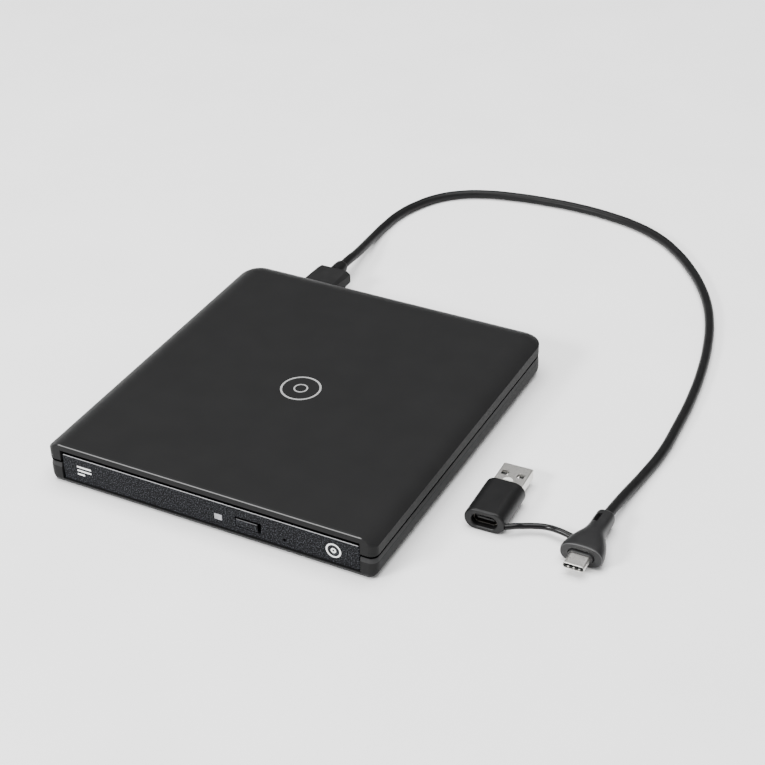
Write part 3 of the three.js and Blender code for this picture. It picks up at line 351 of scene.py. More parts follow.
LID_SHEET = sheet_metal("lid_sheet_mat", (0.5, 0.51, 0.52), (0.58, 0.59, 0.6), rough=0.36,
                        stretch=(1, 0.04, 1))
PAN_SHEET = sheet_metal("chassis_sheet_mat", grey(0.5, 0.01), grey(0.57, 0.01), rough=0.4,
                        stretch=(0.05, 1, 1))
HUB_METAL = sheet_metal("hub_metal_mat", grey(0.55, 0.01), grey(0.62, 0.01), rough=0.3, stretch=(1, 1, 1))
NICKEL = sheet_metal("connector_nickel_mat", (0.68, 0.665, 0.635), (0.76, 0.745, 0.715), rough=0.32,
                     stretch=(1, 0.12, 1), grain=0.12)
# painted shade: nickel coloured dark for the shade inside the adapter's socket
SOCKET_SHADE_NICKEL = sheet_metal("socket_nickel_painted_shade_mat", (0.1, 0.093, 0.083), (0.15, 0.14, 0.125), rough=0.35,
                          stretch=(1, 0.12, 1), grain=0.12)
ACETAL = moulded("acetal_mat", grey(0.62, -0.04), grey(0.7, -0.04), rough=0.4, grain=0.4, depth=0.01,
                 specular=0.5, cloud=4.0)
CHIP = moulded("chip_black_mat", grey(0.006, 0.0005), grey(0.01, 0.0005), rough=0.5, grain=0.12, depth=0.01,
               specular=0.3, cloud=2.0)
FLEX = moulded("flex_film_mat", (0.32, 0.15, 0.03), (0.42, 0.2, 0.05), rough=0.3, grain=0.7, depth=0.004,
               specular=0.5, cloud=4.0)
INSULATOR = moulded("insulator_mat", grey(0.66, -0.03), grey(0.74, -0.03), rough=0.35, grain=0.3,
                    depth=0.006, specular=0.5, cloud=3.0)
INK = moulded("ink_mat", grey(0.24), grey(0.3), rough=0.5, grain=0.3, depth=0.004, cloud=2.0)
WHITE_INK = moulded("white_ink_mat", grey(0.75), grey(0.85), rough=0.5, grain=0.3, depth=0.004, cloud=2.0)
# painted shade: near-black tongue inside the seam, for the seam's dark line
SEAM_LIP_SHADE = moulded("seam_lip_painted_shade_mat", grey(0.0012), grey(0.0018), rough=0.8, grain=0.3, depth=0.01,
                   specular=0.03)
BOARD = circuit_board("board_mat")
LENS = optics("lens_mat")


# ---------------------------------------------------------------- mesh tools (all in millimetres)
SHARP_ANGLE = 35


def smooth_group():
    """Geometry nodes that smooth every face and keep edges over SHARP_ANGLE degrees sharp."""
    group = bpy.data.node_groups.new("smooth_by_angle", "GeometryNodeTree")
    group.interface.new_socket("Geometry", in_out="INPUT", socket_type="NodeSocketGeometry")
    group.interface.new_socket("Geometry", in_out="OUTPUT", socket_type="NodeSocketGeometry")
    start = group.nodes.new("NodeGroupInput")
    end = group.nodes.new("NodeGroupOutput")
    angle = group.nodes.new("GeometryNodeInputMeshEdgeAngle")
    flat = group.nodes.new("FunctionNodeCompare")
    flat.operation = "LESS_EQUAL"
    flat.inputs["B"].default_value = math.radians(SHARP_ANGLE)
    faces = group.nodes.new("GeometryNodeSetShadeSmooth")
    edges = group.nodes.new("GeometryNodeSetShadeSmooth")
    edges.domain = "EDGE"
    group.links.new(angle.outputs["Unsigned Angle"], flat.inputs["A"])
    group.links.new(start.outputs[0], faces.inputs["Geometry"])
    group.links.new(faces.outputs[0], edges.inputs["Geometry"])
    group.links.new(flat.outputs["Result"], edges.inputs["Shade Smooth"])
    group.links.new(edges.outputs[0], end.inputs[0])
    return group


SMOOTH = smooth_group()


def soften(obj, bevel=0.0, segments=2, angle=SHARP_ANGLE):
    """Bevels the edges over an angle in degrees, and shades the rest smooth with its large faces flat."""
    if bevel:
        mod = obj.modifiers.new("edges", "BEVEL")
        mod.width = bevel * MM
        mod.segments = segments
        mod.limit_method = "ANGLE"
        mod.angle_limit = math.radians(angle)
        mod.miter_outer = "MITER_ARC"
    obj.modifiers.new("smooth", "NODES").node_group = SMOOTH
    flat = obj.modifiers.new("flat_faces", "WEIGHTED_NORMAL")
    flat.weight = 80
    flat.keep_sharp = True
    return obj


def mesh_object(name, verts, faces):
    """Closed mesh from points in millimetres, with doubles merged and its faces turned out."""
    mesh = bpy.data.meshes.new(name)
    mesh.from_pydata([Vector(v) * MM for v in verts], [], faces)
    mesh.update()
    obj = bpy.data.objects.new(name, mesh)
    scene.collection.objects.link(obj)
    shape = bmesh.new()
    shape.from_mesh(mesh)
    bmesh.ops.remove_doubles(shape, verts=shape.verts, dist=1e-7)
    bmesh.ops.recalc_face_normals(shape, faces=shape.faces)
    shape.to_mesh(mesh)
    shape.free()
    return obj


def loft(name, rings):
    """Closed body through rings with the same number of points."""
    count = len(rings[0])
    verts = [p for ring in rings for p in ring]
    faces = []
    for level in range(len(rings) - 1):
        for i in range(count):
            a, b = level * count + i, level * count + (i + 1) % count
            faces.append((a, b, b + count, a + count))
    faces.append(tuple(range(count)))
    faces.append(tuple(range(len(verts) - count, len(verts))))
    return mesh_object(name, verts, faces)


def box(name, x0, x1, y0, y1, z0, z1):
    """Straight-sided body between two corners, for cutters and small flat pieces."""
    ring = [(x0, y0), (x1, y0), (x1, y1), (x0, y1)]
    return loft(name, [[(x, y, z0) for x, y in ring], [(x, y, z1) for x, y in ring]])


def flatten(obj):
    """Replaces the mesh by the one its modifiers make."""
    graph = bpy.context.evaluated_depsgraph_get()
    obj.data = bpy.data.meshes.new_from_object(obj.evaluated_get(graph))
    obj.modifiers.clear()
    return obj


def combine(obj, operation, tools):
    """Joins the tools to obj, or cuts them from it, and removes them."""
    for tool in tools:
        mod = obj.modifiers.new("tool", "BOOLEAN")
        mod.operation = operation
        mod.solver = "EXACT"
        mod.object = tool
    bpy.context.view_layer.update()
    flatten(obj)
    for tool in tools:
        bpy.data.objects.remove(tool)
    return obj


def cut(obj, *tools):
    return combine(obj, "DIFFERENCE", tools)


def join(obj, *tools):
    return combine(obj, "UNION", tools)


def show(obj, material, body, slot, *nodes):
    """Gives a piece its finish, its body and the CAD nodes that it stands for."""
    obj.data.materials.clear()
    obj.data.materials.append(material)
    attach(obj, body)
    if nodes:
        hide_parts(*nodes)
    return obj


def stadium(half_width, half_height, inset=0.0, steps=16):
    """(x, z) points of a bar's section with fully round ends."""
    r = half_height - inset
    flat = half_width - half_height
    points = []
    for side in (1, -1):
        for i in range(steps + 1):
            a = side * math.pi / 2 - math.pi * i / steps
            points.append((side * flat + r * math.cos(a), r * math.sin(a)))
    return points


def rounded(half_width, half_height, radius, steps=6):
    """(x, z) points of a rounded rectangle."""
    points = []
    for quarter, (sx, sz) in enumerate(((1, 1), (-1, 1), (-1, -1), (1, -1))):
        for i in range(steps + 1):
            a = math.pi / 2 * (quarter + i / steps)
            points.append((
                sx * (half_width - radius) + radius * math.cos(a),
                sz * (half_height - radius) + radius * math.sin(a),
            ))
    return points


def blob(half_width, half_height, power, count=48):
    """(x, z) points of a superellipse."""
    points = []
    for i in range(count):
        a = 2 * math.pi * i / count
        c, s = math.cos(a), math.sin(a)
        points.append((
            half_width * math.copysign(abs(c) ** (2 / power), c),
            half_height * math.copysign(abs(s) ** (2 / power), s),
        ))
    return points


def at(section, x, y, z):
    """Stands an (x, z) section at a point, facing along Y."""
    return [(x + px, y, z + pz) for px, pz in section]


def tube(name, route, radius, resolution=10):
    """A round curve piece along a route given in metres."""
    data = bpy.data.curves.new(name, "CURVE")
    data.dimensions = "3D"
    data.resolution_u = resolution
    data.bevel_depth = radius
    data.bevel_resolution = 8
    data.use_fill_caps = True
    spline = data.splines.new("BEZIER")
    spline.bezier_points.add(len(route) - 1)
    for point, place in zip(spline.bezier_points, route):
        point.co = place
        point.handle_left_type = "AUTO"
        point.handle_right_type = "AUTO"
    obj = bpy.data.objects.new(name, data)
    scene.collection.objects.link(obj)
    return obj


# ---------------------------------------------------------------- USB lead
# routes and diameters in metres, the same as in the CAD model
CORD_DIAMETER = 0.0041
CORD_ROUTE = [
    (-0.0399, 0.1043, 0.0077), (-0.04, 0.11, 0.0074), (-0.0405, 0.118, 0.0062), (-0.042, 0.13, 0.0044),
    (-0.0435, 0.142, 0.0028), (-0.044, 0.154, 0.00215), (-0.043, 0.166, 0.00215), (-0.0395, 0.178, 0.00215),
    (-0.0335, 0.189, 0.00215), (-0.025, 0.197, 0.00215), (-0.014, 0.2025, 0.00215), (0.0, 0.206, 0.00215),
    (0.016, 0.208, 0.00215), (0.032, 0.2085, 0.00215), (0.048, 0.207, 0.00215), (0.063, 0.2035, 0.00215),
    (0.077, 0.197, 0.00215), (0.089, 0.1875, 0.00215), (0.1, 0.1755, 0.00215), (0.109, 0.163, 0.00215),
    (0.116, 0.1505, 0.00215), (0.122, 0.136, 0.00215), (0.127, 0.119, 0.00215), (0.131, 0.1, 0.00215),
    (0.134, 0.078, 0.00215), (0.1355, 0.056, 0.00215), (0.136, 0.038, 0.00215), (0.1345, 0.02, 0.0022),
    (0.133, 0.004, 0.0033), (0.1322, -0.0109, 0.0046),
]
STRAP_DIAMETER = 0.0024
STRAP_ROUTE = [
    (0.1008, -0.0326, 0.004), (0.1018, -0.032, 0.004), (0.104, -0.0305, 0.004), (0.1065, -0.0285, 0.0035),
    (0.1095, -0.027, 0.0035), (0.114, -0.0255, 0.0035), (0.1195, -0.026, 0.004), (0.1245, -0.027, 0.004),
    (0.1265, -0.0275, 0.004),
]
# sizes in millimetres; a pair is half a width and half a height, and the adapter's turn is in radians
TYPE_C_SHELL, TYPE_C_SHEET = (4.15, 1.25), 0.3
TYPE_C_ROOM = (TYPE_C_SHELL[0] - TYPE_C_SHEET, TYPE_C_SHELL[1] - TYPE_C_SHEET)
TYPE_C_BOSS = (4.75, 1.95)
TYPE_A_SHELL, TYPE_A_LENGTH = (6.0, 2.25), 13.0
TYPE_A_WINDOW = 3.15
ADAPTER_BODY, ADAPTER_HALF_LENGTH = (8.1, 4.6), 10.6
ADAPTER_TURN = 0.03


def rear_plug():
    """Chamfered grip that widens to its right, and whose chamfers grow, away from the case."""
    lo, hi = corners("rear_plug")
    c = (lo + hi) / 2
    w, h = (hi.x - lo.x) / 2, (hi.z - lo.z) / 2

    def section(grow, bevel_x, bevel_z, right=0.0):
        a, b = w + grow, h + grow
        return [
            (bevel_x - a, -b), (a + right - bevel_x, -b), (a + right, bevel_z - b), (a + right, b - bevel_z),
            (a + right - bevel_x, b), (bevel_x - a, b), (-a, b - bevel_z), (-a, bevel_z - b),
        ]

    body = loft("rear_plug_body", [
        at(section(0, 0.9, 0.7), c.x, lo.y, c.z),
        at(section(0, 1.3, 1.0, 0.4), c.x, lo.y + 9, c.z),
        at(section(0, 2.0, 1.6, 0.9), c.x, hi.y - 1.2, c.z),
        at(section(-0.8, 1.9, 1.4, 0.8), c.x, hi.y, c.z),
    ])
    return show(soften(body, 0.2, 2, 15), GRIP, "cable", "plug_plastic", "rear_plug")


def strain_relief():
    """Sleeve that tapers on to the cord."""
    lo, hi = corners("strain_relief")
    c = (lo + hi) / 2
    start, length = lo.y - 0.2, hi.y - lo.y + 0.2
    taper = ((0.0, 3.0), (0.15, 3.1), (0.5, 3.1), (0.75, 2.98), (0.88, 2.8), (0.95, 2.58), (1.0, 2.2))
    sleeve = loft("strain_relief_sleeve", [
        at(blob(r, r, 2), c.x, start + length * share, c.z) for share, r in taper
    ])
    return show(soften(sleeve), JACKET, "cable", "cable_rubber", "strain_relief")


def type_c_plug():
    """Flared overmould with a slit in its collar, and the connector's own boss in its face."""
    shell_lo, shell_hi = corners("type_c_shell")
    x, z = (shell_lo.x + shell_hi.x) / 2, (shell_lo.z + shell_hi.z) / 2
    lo, hi = corners("type_c_overmould")
    face, neck = FLARE_FACE, hi.y
    stations = [
        (face, 7.8, 4.25, 2.5), (face + 0.12, 8.0, 4.42, 2.5), (face + 0.4, 8.15, 4.55, 2.5),
        (face + 0.9, 8.25, 4.62, 2.5),
        (face + 2.4, 8.2, 4.62, 2.5), (face + 4.2, 7.85, 4.6, 2.5), (face + 5.8, 7.4, 4.6, 2.45),
        (face + 7.4, 6.85, 4.58, 2.4), (face + 9.0, 6.2, 4.5, 2.35), (face + 10.6, 5.4, 4.36, 2.3),
        (face + 12.0, 4.75, 4.2, 2.3), (face + 13.4, 4.25, 4.02, 2.35), (face + 14.8, 3.9, 3.82, 2.5),
        (face + 16.2, 3.7, 3.64, 2.7), (face + 18.0, 3.6, 3.48, 2.9), (face + 21.0, 3.6, 3.34, 3.0),
        (neck - 1.3, 3.55, 3.24, 3.0), (neck - 0.5, 3.35, 3.05, 2.9), (neck, 2.9, 2.65, 2.7),
    ]
    body = loft("type_c_overmould_skin", [at(blob(w, h, power), x, y, z) for y, w, h, power in stations])
    groove = cut(
        loft("groove", [at(stadium(5.12, 2.32), x, y, z) for y in (face - 1, face + 0.9)]),
        loft("island", [at(stadium(*TYPE_C_BOSS), x, y, z) for y in (face - 2, face + 2)]),
    )
    slit = loft("slit", [at(rounded(0.85, 2.2, 0.5), 0, y, 0) for y in (-2.6, 2.6)])
    slit_place = Matrix.Translation(Vector((x - 1.55, face + 19.6, z + 3.4)) * MM)
    slit.matrix_world = slit_place @ Matrix.Rotation(math.radians(-24), 4, "Y")
    bore = loft("bore", [at(stadium(4.35, 1.45), x, y, z) for y in (face - 3, face + 1.4)])
    cut(body, groove, slit, bore)
    levels = ((lo.y, 0.3), (lo.y + 0.12, 0.12), (lo.y + 0.3, 0), (face + 1.6, 0))
    boss = loft("type_c_boss", [at(stadium(*TYPE_C_BOSS, i), x, y, z) for y, i in levels])
    cut(boss, loft("bore", [at(stadium(4.2, 1.3), x, y, z) for y in (face - 3, face + 1.3)]))
    show(soften(body, 0.12, 2, 28), OVERMOULD, "cable", "cable_rubber", "type_c_overmould")
    show(soften(boss, 0.05), BOSS, "cable", "plug_plastic")
    return [body, boss, *type_c_shell(x, z, shell_lo.y, face + 1.2)]


def type_c_shell(x, z, tip, root):
    """Drawn nickel shell with a rolled rim, a black liner and the spring contacts inside it."""
    outside = ((root, 0.0), (tip + 0.35, 0.0), (tip + 0.12, 0.04), (tip, 0.16))
    inside = ((tip + 0.05, -0.06), (tip + 0.3, 0.0), (tip + 5.5, 0.0))
    shell = soften(loft("type_c_shell_drawn", [
        *(at(stadium(*TYPE_C_SHELL, i), x, y, z) for y, i in outside),
        *(at(stadium(*TYPE_C_ROOM, i), x, y, z) for y, i in inside),
    ]))
    show(shell, NICKEL, "cable", "connector_nickel", "type_c_shell")
    liner = loft("type_c_liner", [at(stadium(3.75, 0.85), x, y, z) for y in (tip + 0.55, tip + 5.4)])
    cut(liner, loft("mouth", [at(rounded(3.3, 0.42, 0.3), x, y, z) for y in (tip, tip + 4.4)]))
    show(soften(liner, 0.05), CHIP, "cable", "chip_black")
    clips = join(*(
        box("clip", clip_x - 0.32, clip_x + 0.32, tip + 0.42, tip + 2.6, z - 0.78, z - 0.3)
        for clip_x in (x - 2.1, x, x + 2.1)
    ))
    clips.name = "type_c_contacts"
    show(soften(clips, 0.08), NICKEL, "cable", "connector_nickel")
    return [shell, liner, clips]


def turned(obj, centre):
    """Turns a piece of the adapter with it, about the vertical through the adapter's middle."""
    pivot = Vector((centre.x, centre.y, 0)) * MM
    turn = Matrix.Translation(pivot) @ Matrix.Rotation(ADAPTER_TURN, 4, "Z") @ Matrix.Translation(-pivot)
    obj.data.transform(turn)
    return obj


def adapter():
    """Adapter with a type-C socket in front and a type-A plug behind, built square and then turned."""
    centre = middle("adapter_body")
    x, z = centre.x, centre.z
    front, rear = centre.y - ADAPTER_HALF_LENGTH, centre.y + ADAPTER_HALF_LENGTH
    levels = [(front, 0.62), (front + 0.1, 0.4), (front + 0.3, 0.16), (front + 0.6, 0.02), (front + 0.9, 0),
              (rear - 0.5, 0), (rear - 0.25, 0.04), (rear - 0.08, 0.16), (rear, 0.34)]
    body = loft("adapter_housing", [at(stadium(*ADAPTER_BODY, i), x, y, z) for y, i in levels])
    cut(body, loft("mouth", [
        at(stadium(5.55, 3.0), x, front - 1, z), at(stadium(5.5, 2.95), x, front, z),
        at(stadium(5.22, 2.67), x, front + 0.22, z), at(stadium(5.15, 2.6), x, front + 0.5, z),
        at(stadium(5.15, 2.6), x, front + 8.2, z),
    ]))
    show(soften(turned(body, centre)), PLUG, "cable", "plug_plastic", "adapter_body")

    outside = ((front + 7.8, 0.0), (front + 2.0, 0.0), (front + 1.9, 0.12))
    inside = ((front + 1.9, 0.0), (front + 2.0, 0.06), (front + 7.6, 0.06))
    # the socket's shell, coloured dark as painted shade
    ring = loft("adapter_socket_shell", [
        *(at(stadium(4.9, 2.05, i), x, y, z) for y, i in outside),
        *(at(stadium(4.6, 1.75, i), x, y, z) for y, i in inside),
    ])
    show(soften(turned(ring, centre)), SOCKET_SHADE_NICKEL, "cable", "connector_nickel")
    liner = loft("adapter_socket_liner", [
        at(stadium(5.05, 2.5), x, y, z) for y in (front + 2.3, front + 8.1)
    ])
    cut(liner, loft("room", [at(stadium(4.97, 2.12), x, y, z) for y in (front + 1, front + 7.4)]))
    join(liner, box("tongue", x - 3.3, x + 3.3, front + 2.1, front + 7.8, z - 0.35, z + 0.35))
    show(soften(turned(liner, centre), 0.06), CHIP, "cable", "chip_black", "adapter_socket")
    return [body, ring, liner, *usb_a_plug(centre, rear)]


def usb_a_plug(centre, rear):
    """Folded sheet shell with two latch windows a side, the springs in them and the white tongue."""
    x, z = centre.x, centre.z
    w, h = TYPE_A_SHELL
    tip = rear + TYPE_A_LENGTH
    shell = loft("usb_a_shell_folded", [
        at(rounded(w - i, h - i, corner), x, y, z) for y, i, corner in (
            (rear - 0.4, 0, 0.55), (tip - 0.1, 0, 0.55), (tip, 0.07, 0.5), (tip, 0.26, 0.36),
            (tip - 0.12, 0.32, 0.32), (rear + 0.2, 0.32, 0.32))
    ])
    windows = []
    for window_x in (x - TYPE_A_WINDOW, x + TYPE_A_WINDOW):
        for low, high in ((z + 1.5, z + 3), (z - 3, z - 1.5)):
            windows.append(box("window", window_x - 1.45, window_x + 1.45, tip - 7.2, tip - 4.6, low, high))
    seam = box("seam", x + 5.52, x + 5.62, rear - 1, tip + 1, z + 2.12, z + 3)
    cut(shell, *windows, seam)
    show(soften(turned(shell, centre), 0.07), NICKEL, "cable", "connector_nickel", "usb_a_shell")

    leaf = [(-0.3, -0.06), (0.3, -0.06), (0.3, 0.06), (-0.3, 0.06)]
    bow = ((6.6, 1.42), (6.2, 1.6), (5.6, 1.62), (5.2, 1.45))
    springs = join(*(
        loft("spring", [at(leaf, x + side * (TYPE_A_WINDOW - 0.95), tip - back, z + up) for back, up in bow])
        for side in (-1, 1)
    ))
    springs.name = "usb_a_springs"
    show(soften(turned(springs, centre), 0.04), NICKEL, "cable", "connector_nickel")

    # painted highlight: the crescent tab at the shell's root is coloured white
    half_circle = [(math.cos(math.pi * i / 16), math.sin(math.pi * i / 16)) for i in range(17)]
    tab = loft("usb_a_stop_tab", [
        [(x - 0.4 + r * c, rear + 2.7 + r * s, z + up) for c, s in half_circle]
        for r, up in ((2.1, 2.2), (2.0, 2.36), (1.75, 2.46), (1.3, 2.5))
    ])
    show(soften(turned(tab, centre), 0.05), INSULATOR, "cable", "insulator_white")
    # painted shade: black block above the tongue, so the latch windows read dark
    shade_block = box("usb_a_painted_shade_block", x - 5.4, x + 5.4, rear + 0.4, tip - 4.6, z - 0.03, z + 1.3)
    show(soften(turned(shade_block, centre), 0.1), CHIP, "cable", "chip_black")
    tongue = box("usb_a_insulator", x - 5.5, x + 5.5, rear + 0.8, tip - 0.5, z - 1.85, z - 0.05)
    cut(tongue, *(
        box("pad", x + dx - 0.5, x + dx + 0.5, tip - 8, tip - 1.2, z - 0.3, z + 0.3)
        for dx in (-3.5, -1.0, 1.0, 3.5)
    ))
    show(soften(turned(tongue, centre), 0.1), INSULATOR, "cable", "insulator_white", "usb_a_tongue")
    return [shell, springs, tab, shade_block, tongue]


def usb_lead():
    """The cord, the plug at each of its ends, and the adapter on its strap."""
    cord = tube("cord", CORD_ROUTE, CORD_DIAMETER / 2)
    show(cord, JACKET, "cable", "cable_rubber", "usb_cord")
    strap = tube("tether", STRAP_ROUTE, STRAP_DIAMETER / 2)
    show(strap, STRAP, "cable", "cable_rubber", "tether_strap")
    pieces = [rear_plug(), strain_relief(), strap, NODES["rear_plug_shell"], *type_c_plug(), *adapter()]


usb_lead()

# ---------------------------------------------------------------- case
# corners of the outline
FRONT_RADIUS, REAR_RADIUS = 3.3, 9.0
# width of the roof's falling edge, height of the crease at its foot, and its rounding at the front
ROOF_FALL, CREASE, FRONT_ROUND = 9.8, 14.9, 1.1
# radius of the edge under the case, and the share of it that the front edge is drawn in by
UNDER_RADIUS, UNDER_FRONT = 3.2, 0.15
WALL = 1.7
SCREW_X, SCREW_Y = 65.5, 60
FOOT_X, FOOT_Y = 64.2, 60
CORNERS = [(sx, sy) for sx in (-1, 1) for sy in (-1, 1)]
CIRCLE = [(math.cos(2 * math.pi * i / 24), math.sin(2 * math.pi * i / 24)) for i in range(24)]


def case_ring(z, side, front, steps=12):
    """Plan outline of the case at height z, drawn in at its sides and rear, and at its front."""
    x, y0, y1 = HALF_WIDTH - side, FRONT + front, REAR - side
    front_r = max(FRONT_RADIUS - max(side, front), 0.4)
    rear_r = max(REAR_RADIUS - side, 0.8)
    ring = []
    for cx, cy, r, quarter in ((x - front_r, y0 + front_r, front_r, -1), (x - rear_r, y1 - rear_r, rear_r, 0),
                               (rear_r - x, y1 - rear_r, rear_r, 1), (front_r - x, y0 + front_r, front_r, 2)):
        for i in range(steps + 1):
            a = math.pi / 2 * (quarter + i / steps)
            ring.append((cx + r * math.cos(a), cy + r * math.sin(a), z))
    return ring


def case_rings(*levels):
    """Outlines drawn in alike all round, for (height, inset) levels."""
    return [case_ring(z, inset, inset) for z, inset in levels]


def roof_rings(skin, steps):
    """The roof's falling edge from the crease up to the flat, `skin` below the outer surface."""
    slope = 2 * math.atan((TOP - CREASE) / ROOF_FALL)
    radius = ROOF_FALL / math.sin(slope)
    rings = []
    for i in range(steps + 1):
        a = slope * (1 - i / steps)
        fall = radius * (1 - math.cos(a))
        round_off = FRONT_ROUND * (1 - math.sqrt(1 - max(0, 1 - fall / FRONT_ROUND) ** 2))
        rings.append(case_ring(TOP - fall - skin, ROOF_FALL - radius * math.sin(a) + skin, skin or round_off))
    return rings


def mouth_cutter(low, high):
    """The tray's opening in the front wall."""
    return box("mouth", -MOUTH_HALF, MOUTH_HALF, FRONT - 1, FRONT + 3, low, high)


def post(name, x, y, radius, low, high):
    """Round upright body."""
    return loft(name, [[(x + radius * c, y + radius * s, z) for c, s in CIRCLE] for z in (low, high)])


def top_cover():
    """Upper shell: rebate at the seam, wall, falling edges, flat roof and the four screw bosses."""
    low = SEAM + 0.15
    rebate = case_rings((low, 0.7), (low + 0.62, 0.65), (low + 0.68, 0.1), (low + 0.8, 0))
    outer = loft("top_cover_shell", [*rebate, *roof_rings(0, 26)])
    inner = loft("inner", [case_ring(low - 1, WALL, WALL), *roof_rings(WALL, 6)])
    cut(outer, inner, mouth_cutter(low - 1, MOUTH_HIGH))
    bosses = []
    for sx, sy in CORNERS:
        x, y = sx * SCREW_X, sy * SCREW_Y
        bosses.append(cut(post("boss", x, y, 1.45, 2.6, 17.0), post("pilot", x, y, 0.9, 2, 9.6)))
    join(outer, *bosses)
    return show(soften(outer, 0.15, 2, 55), CASE, "case", "case_plastic", "top_cover")


def bottom_cover():
    """Lower shell: rounded under-edge, upright wall and a bevelled band up to the seam."""
    high = SEAM - 0.15
    steps = 8
    rings = []
    for i in range(steps + 1):
        a = math.pi / 2 * i / steps
        inset = UNDER_RADIUS * (1 - math.sin(a))
        rings.append(case_ring(BASE + UNDER_RADIUS * (1 - math.cos(a)), inset, UNDER_FRONT * inset))
    rings += case_rings((7.25, 0), (7.4, 0.02), (7.6, 0.07), (high - 0.35, 0.45), (high - 0.1, 0.56),
                        (high, 0.75))
    inner = loft("inner", [
        case_ring(MOUTH_LOW, 3.4, 2.2), case_ring(MOUTH_LOW + 1.4, 1.9, 1.8), case_ring(high + 1, 1.8, 1.8),
    ])
    port = middle("usb_port")
    notch = box("notch", port.x - 6.9, port.x + 6.9, REAR - 4, REAR + 1, port.z - 2.6, high + 1)
    holes = [post("hole", sx * SCREW_X, sy * SCREW_Y, 1.05, 0, 3.3) for sx, sy in CORNERS]
    seats = [
        loft("seat", [foot_ring(sx * FOOT_X, sy * FOOT_Y, z, 0.2) for z in (0, 1.5)]) for sx, sy in CORNERS
    ]
    shell = loft("bottom_cover_shell", rings)
    cut(shell, inner, mouth_cutter(MOUTH_LOW, high + 1), notch, *holes, *seats)
    return show(soften(shell, 0.18, 2, 50), CASE, "case", "case_plastic", "bottom_cover")


def foot_ring(x, y, z, grow, steps=8):
    """Outline of a long foot with round ends."""
    hw, hl = 3.0 + grow, 9.0 + grow
    return [(x + px, y + py, z) for px, py in rounded(hw, hl, hw - 0.02, steps)]


def feet():
    """Rubber feet, each with a hole for the screw under it."""
    for sx, sy in ((-1, -1), (1, -1), (-1, 1), (1, 1)):
        name = ("front" if sy < 0 else "rear") + ("_left" if sx < 0 else "_right")
        y = sy * FOOT_Y
        pad = loft(f"foot_pad_{name}", [
            foot_ring(sx * FOOT_X, y, z, grow) for z, grow in ((0, -0.5), (0.08, -0.25), (0.3, 0), (1.4, 0))
        ])
        cut(pad, post("hole", sx * SCREW_X, y, 1.8, 0.7, 3))
        show(soften(pad), FOOT, "case", "foot_rubber", f"foot_{name}")


def seam_lip():
    """Tongue between the two shells, coloured near-black as painted shade for the dark line of the seam."""
    low, high = SEAM - 0.12, SEAM + 0.9
    lip = loft("case_seam_lip", case_rings((low, 0.14), (SEAM, 0.14), (SEAM + 0.06, 0.62), (high, 0.62)))
    inner = loft("inner", case_rings((low - 1, 1.5), (high + 1, 1.5)))
    return show(soften(cut(lip, inner, mouth_cutter(low - 1, high + 1))), SEAM_LIP_SHADE, "case", "case_plastic")


top_cover()
bottom_cover()
seam_lip()
feet()


# ---------------------------------------------------------------- printed marks
def annulus(cx, cy, outer, inner, place, steps=96):
    """The four circles of a flat ring's section, stood in space by `place`."""
    turns = [2 * math.pi * i / steps for i in range(steps)]

    def circle(r, lift):
        return [place(cx + r * math.cos(a), cy + r * math.sin(a), lift) for a in turns]

    return circle(outer, -0.05), circle(outer, 0.02), circle(inner, 0.02), circle(inner, -0.05)


def ring_mark(name, cx, cy, radii, place, material, body, slot):
    """Plain disc pictogram: concentric rings."""
    verts, faces = [], []
    for outer, inner in radii:
        loops = annulus(cx, cy, outer, inner, place)
        start, count = len(verts), len(loops[0])
        for loop in loops:
            verts += loop
        for level in range(4):
            here, there = start + level * count, start + (level + 1) % 4 * count
            for i in range(count):
                follow = (i + 1) % count
                faces.append((here + i, here + follow, there + follow, there + i))
    return show(mesh_object(name, verts, faces), material, body, slot)


def on_roof(x, y, lift):
    return x, y, TOP + lift


def on_bezel(x, z, lift):
    return x, BEZEL_FACE - lift, z


def bar_mark():
    """Three short level bars, the last of them half as long."""
    left, long, thick = -57.5, 6.4, 0.7
    bars = [
        box("bar", left, left + length, BEZEL_FACE - 0.02, BEZEL_FACE + 0.05, z - thick / 2, z + thick / 2)
        for z, length in ((9.9, long), (8.2, long), (6.5, long / 2))
    ]
    bars = join(*bars)
    bars.name = "bezel_bar_mark"
    return show(bars, WHITE_INK, "tray", "led_window")


ring_mark("roof_ring_mark", 0, -4, ((8.2, 7.4), (2.9, 2.3)), on_roof, INK, "case", "led_window")

# ---------------------------------------------------------------- tray front
POCKET_X, POCKET_Z = (12.5, 23.5), (5.2, 9.8)
WINDOW_X, WINDOW_Z = (3.2, 6.9), (5.4, 8.3)
PINHOLE_X, PINHOLE_Z, PINHOLE_RADIUS = 33.3, 5.9, 0.65


def bezel():
    """Front of the tray, with the button's pocket, the light's window and the pinhole."""
    lo, hi = corners("bezel")
    hi.z = BEZEL_TOP
    c = (lo + hi) / 2
    w, h = (hi.x - lo.x) / 2, (hi.z - lo.z) / 2
    levels = ((lo.y, 0.42), (lo.y + 0.1, 0.2), (lo.y + 0.25, 0.06), (lo.y + 0.45, 0), (hi.y, 0))
    body = loft("bezel_front", [at(rounded(w - i, h - i, 0.7 - i), c.x, y, c.z) for y, i in levels])
    back = box("back", lo.x + 1.4, hi.x - 1.4, lo.y + 1.6, hi.y + 1, lo.z + 1.2, hi.z - 1.2)
    pocket = box("pocket", *POCKET_X, lo.y - 1, hi.y, *POCKET_Z)
    window = box("window", *WINDOW_X, lo.y - 1, hi.y, *WINDOW_Z)
    pin = [(PINHOLE_RADIUS * px, PINHOLE_RADIUS * pz) for px, pz in CIRCLE]
    pinhole = loft("pinhole", [at(pin, PINHOLE_X, y, PINHOLE_Z) for y in (lo.y - 1, hi.y)])
    cut(body, back, pocket, window, pinhole)
    return show(soften(body, 0.12, 2, 60), BEZEL, "tray", "bezel_plastic", "bezel")


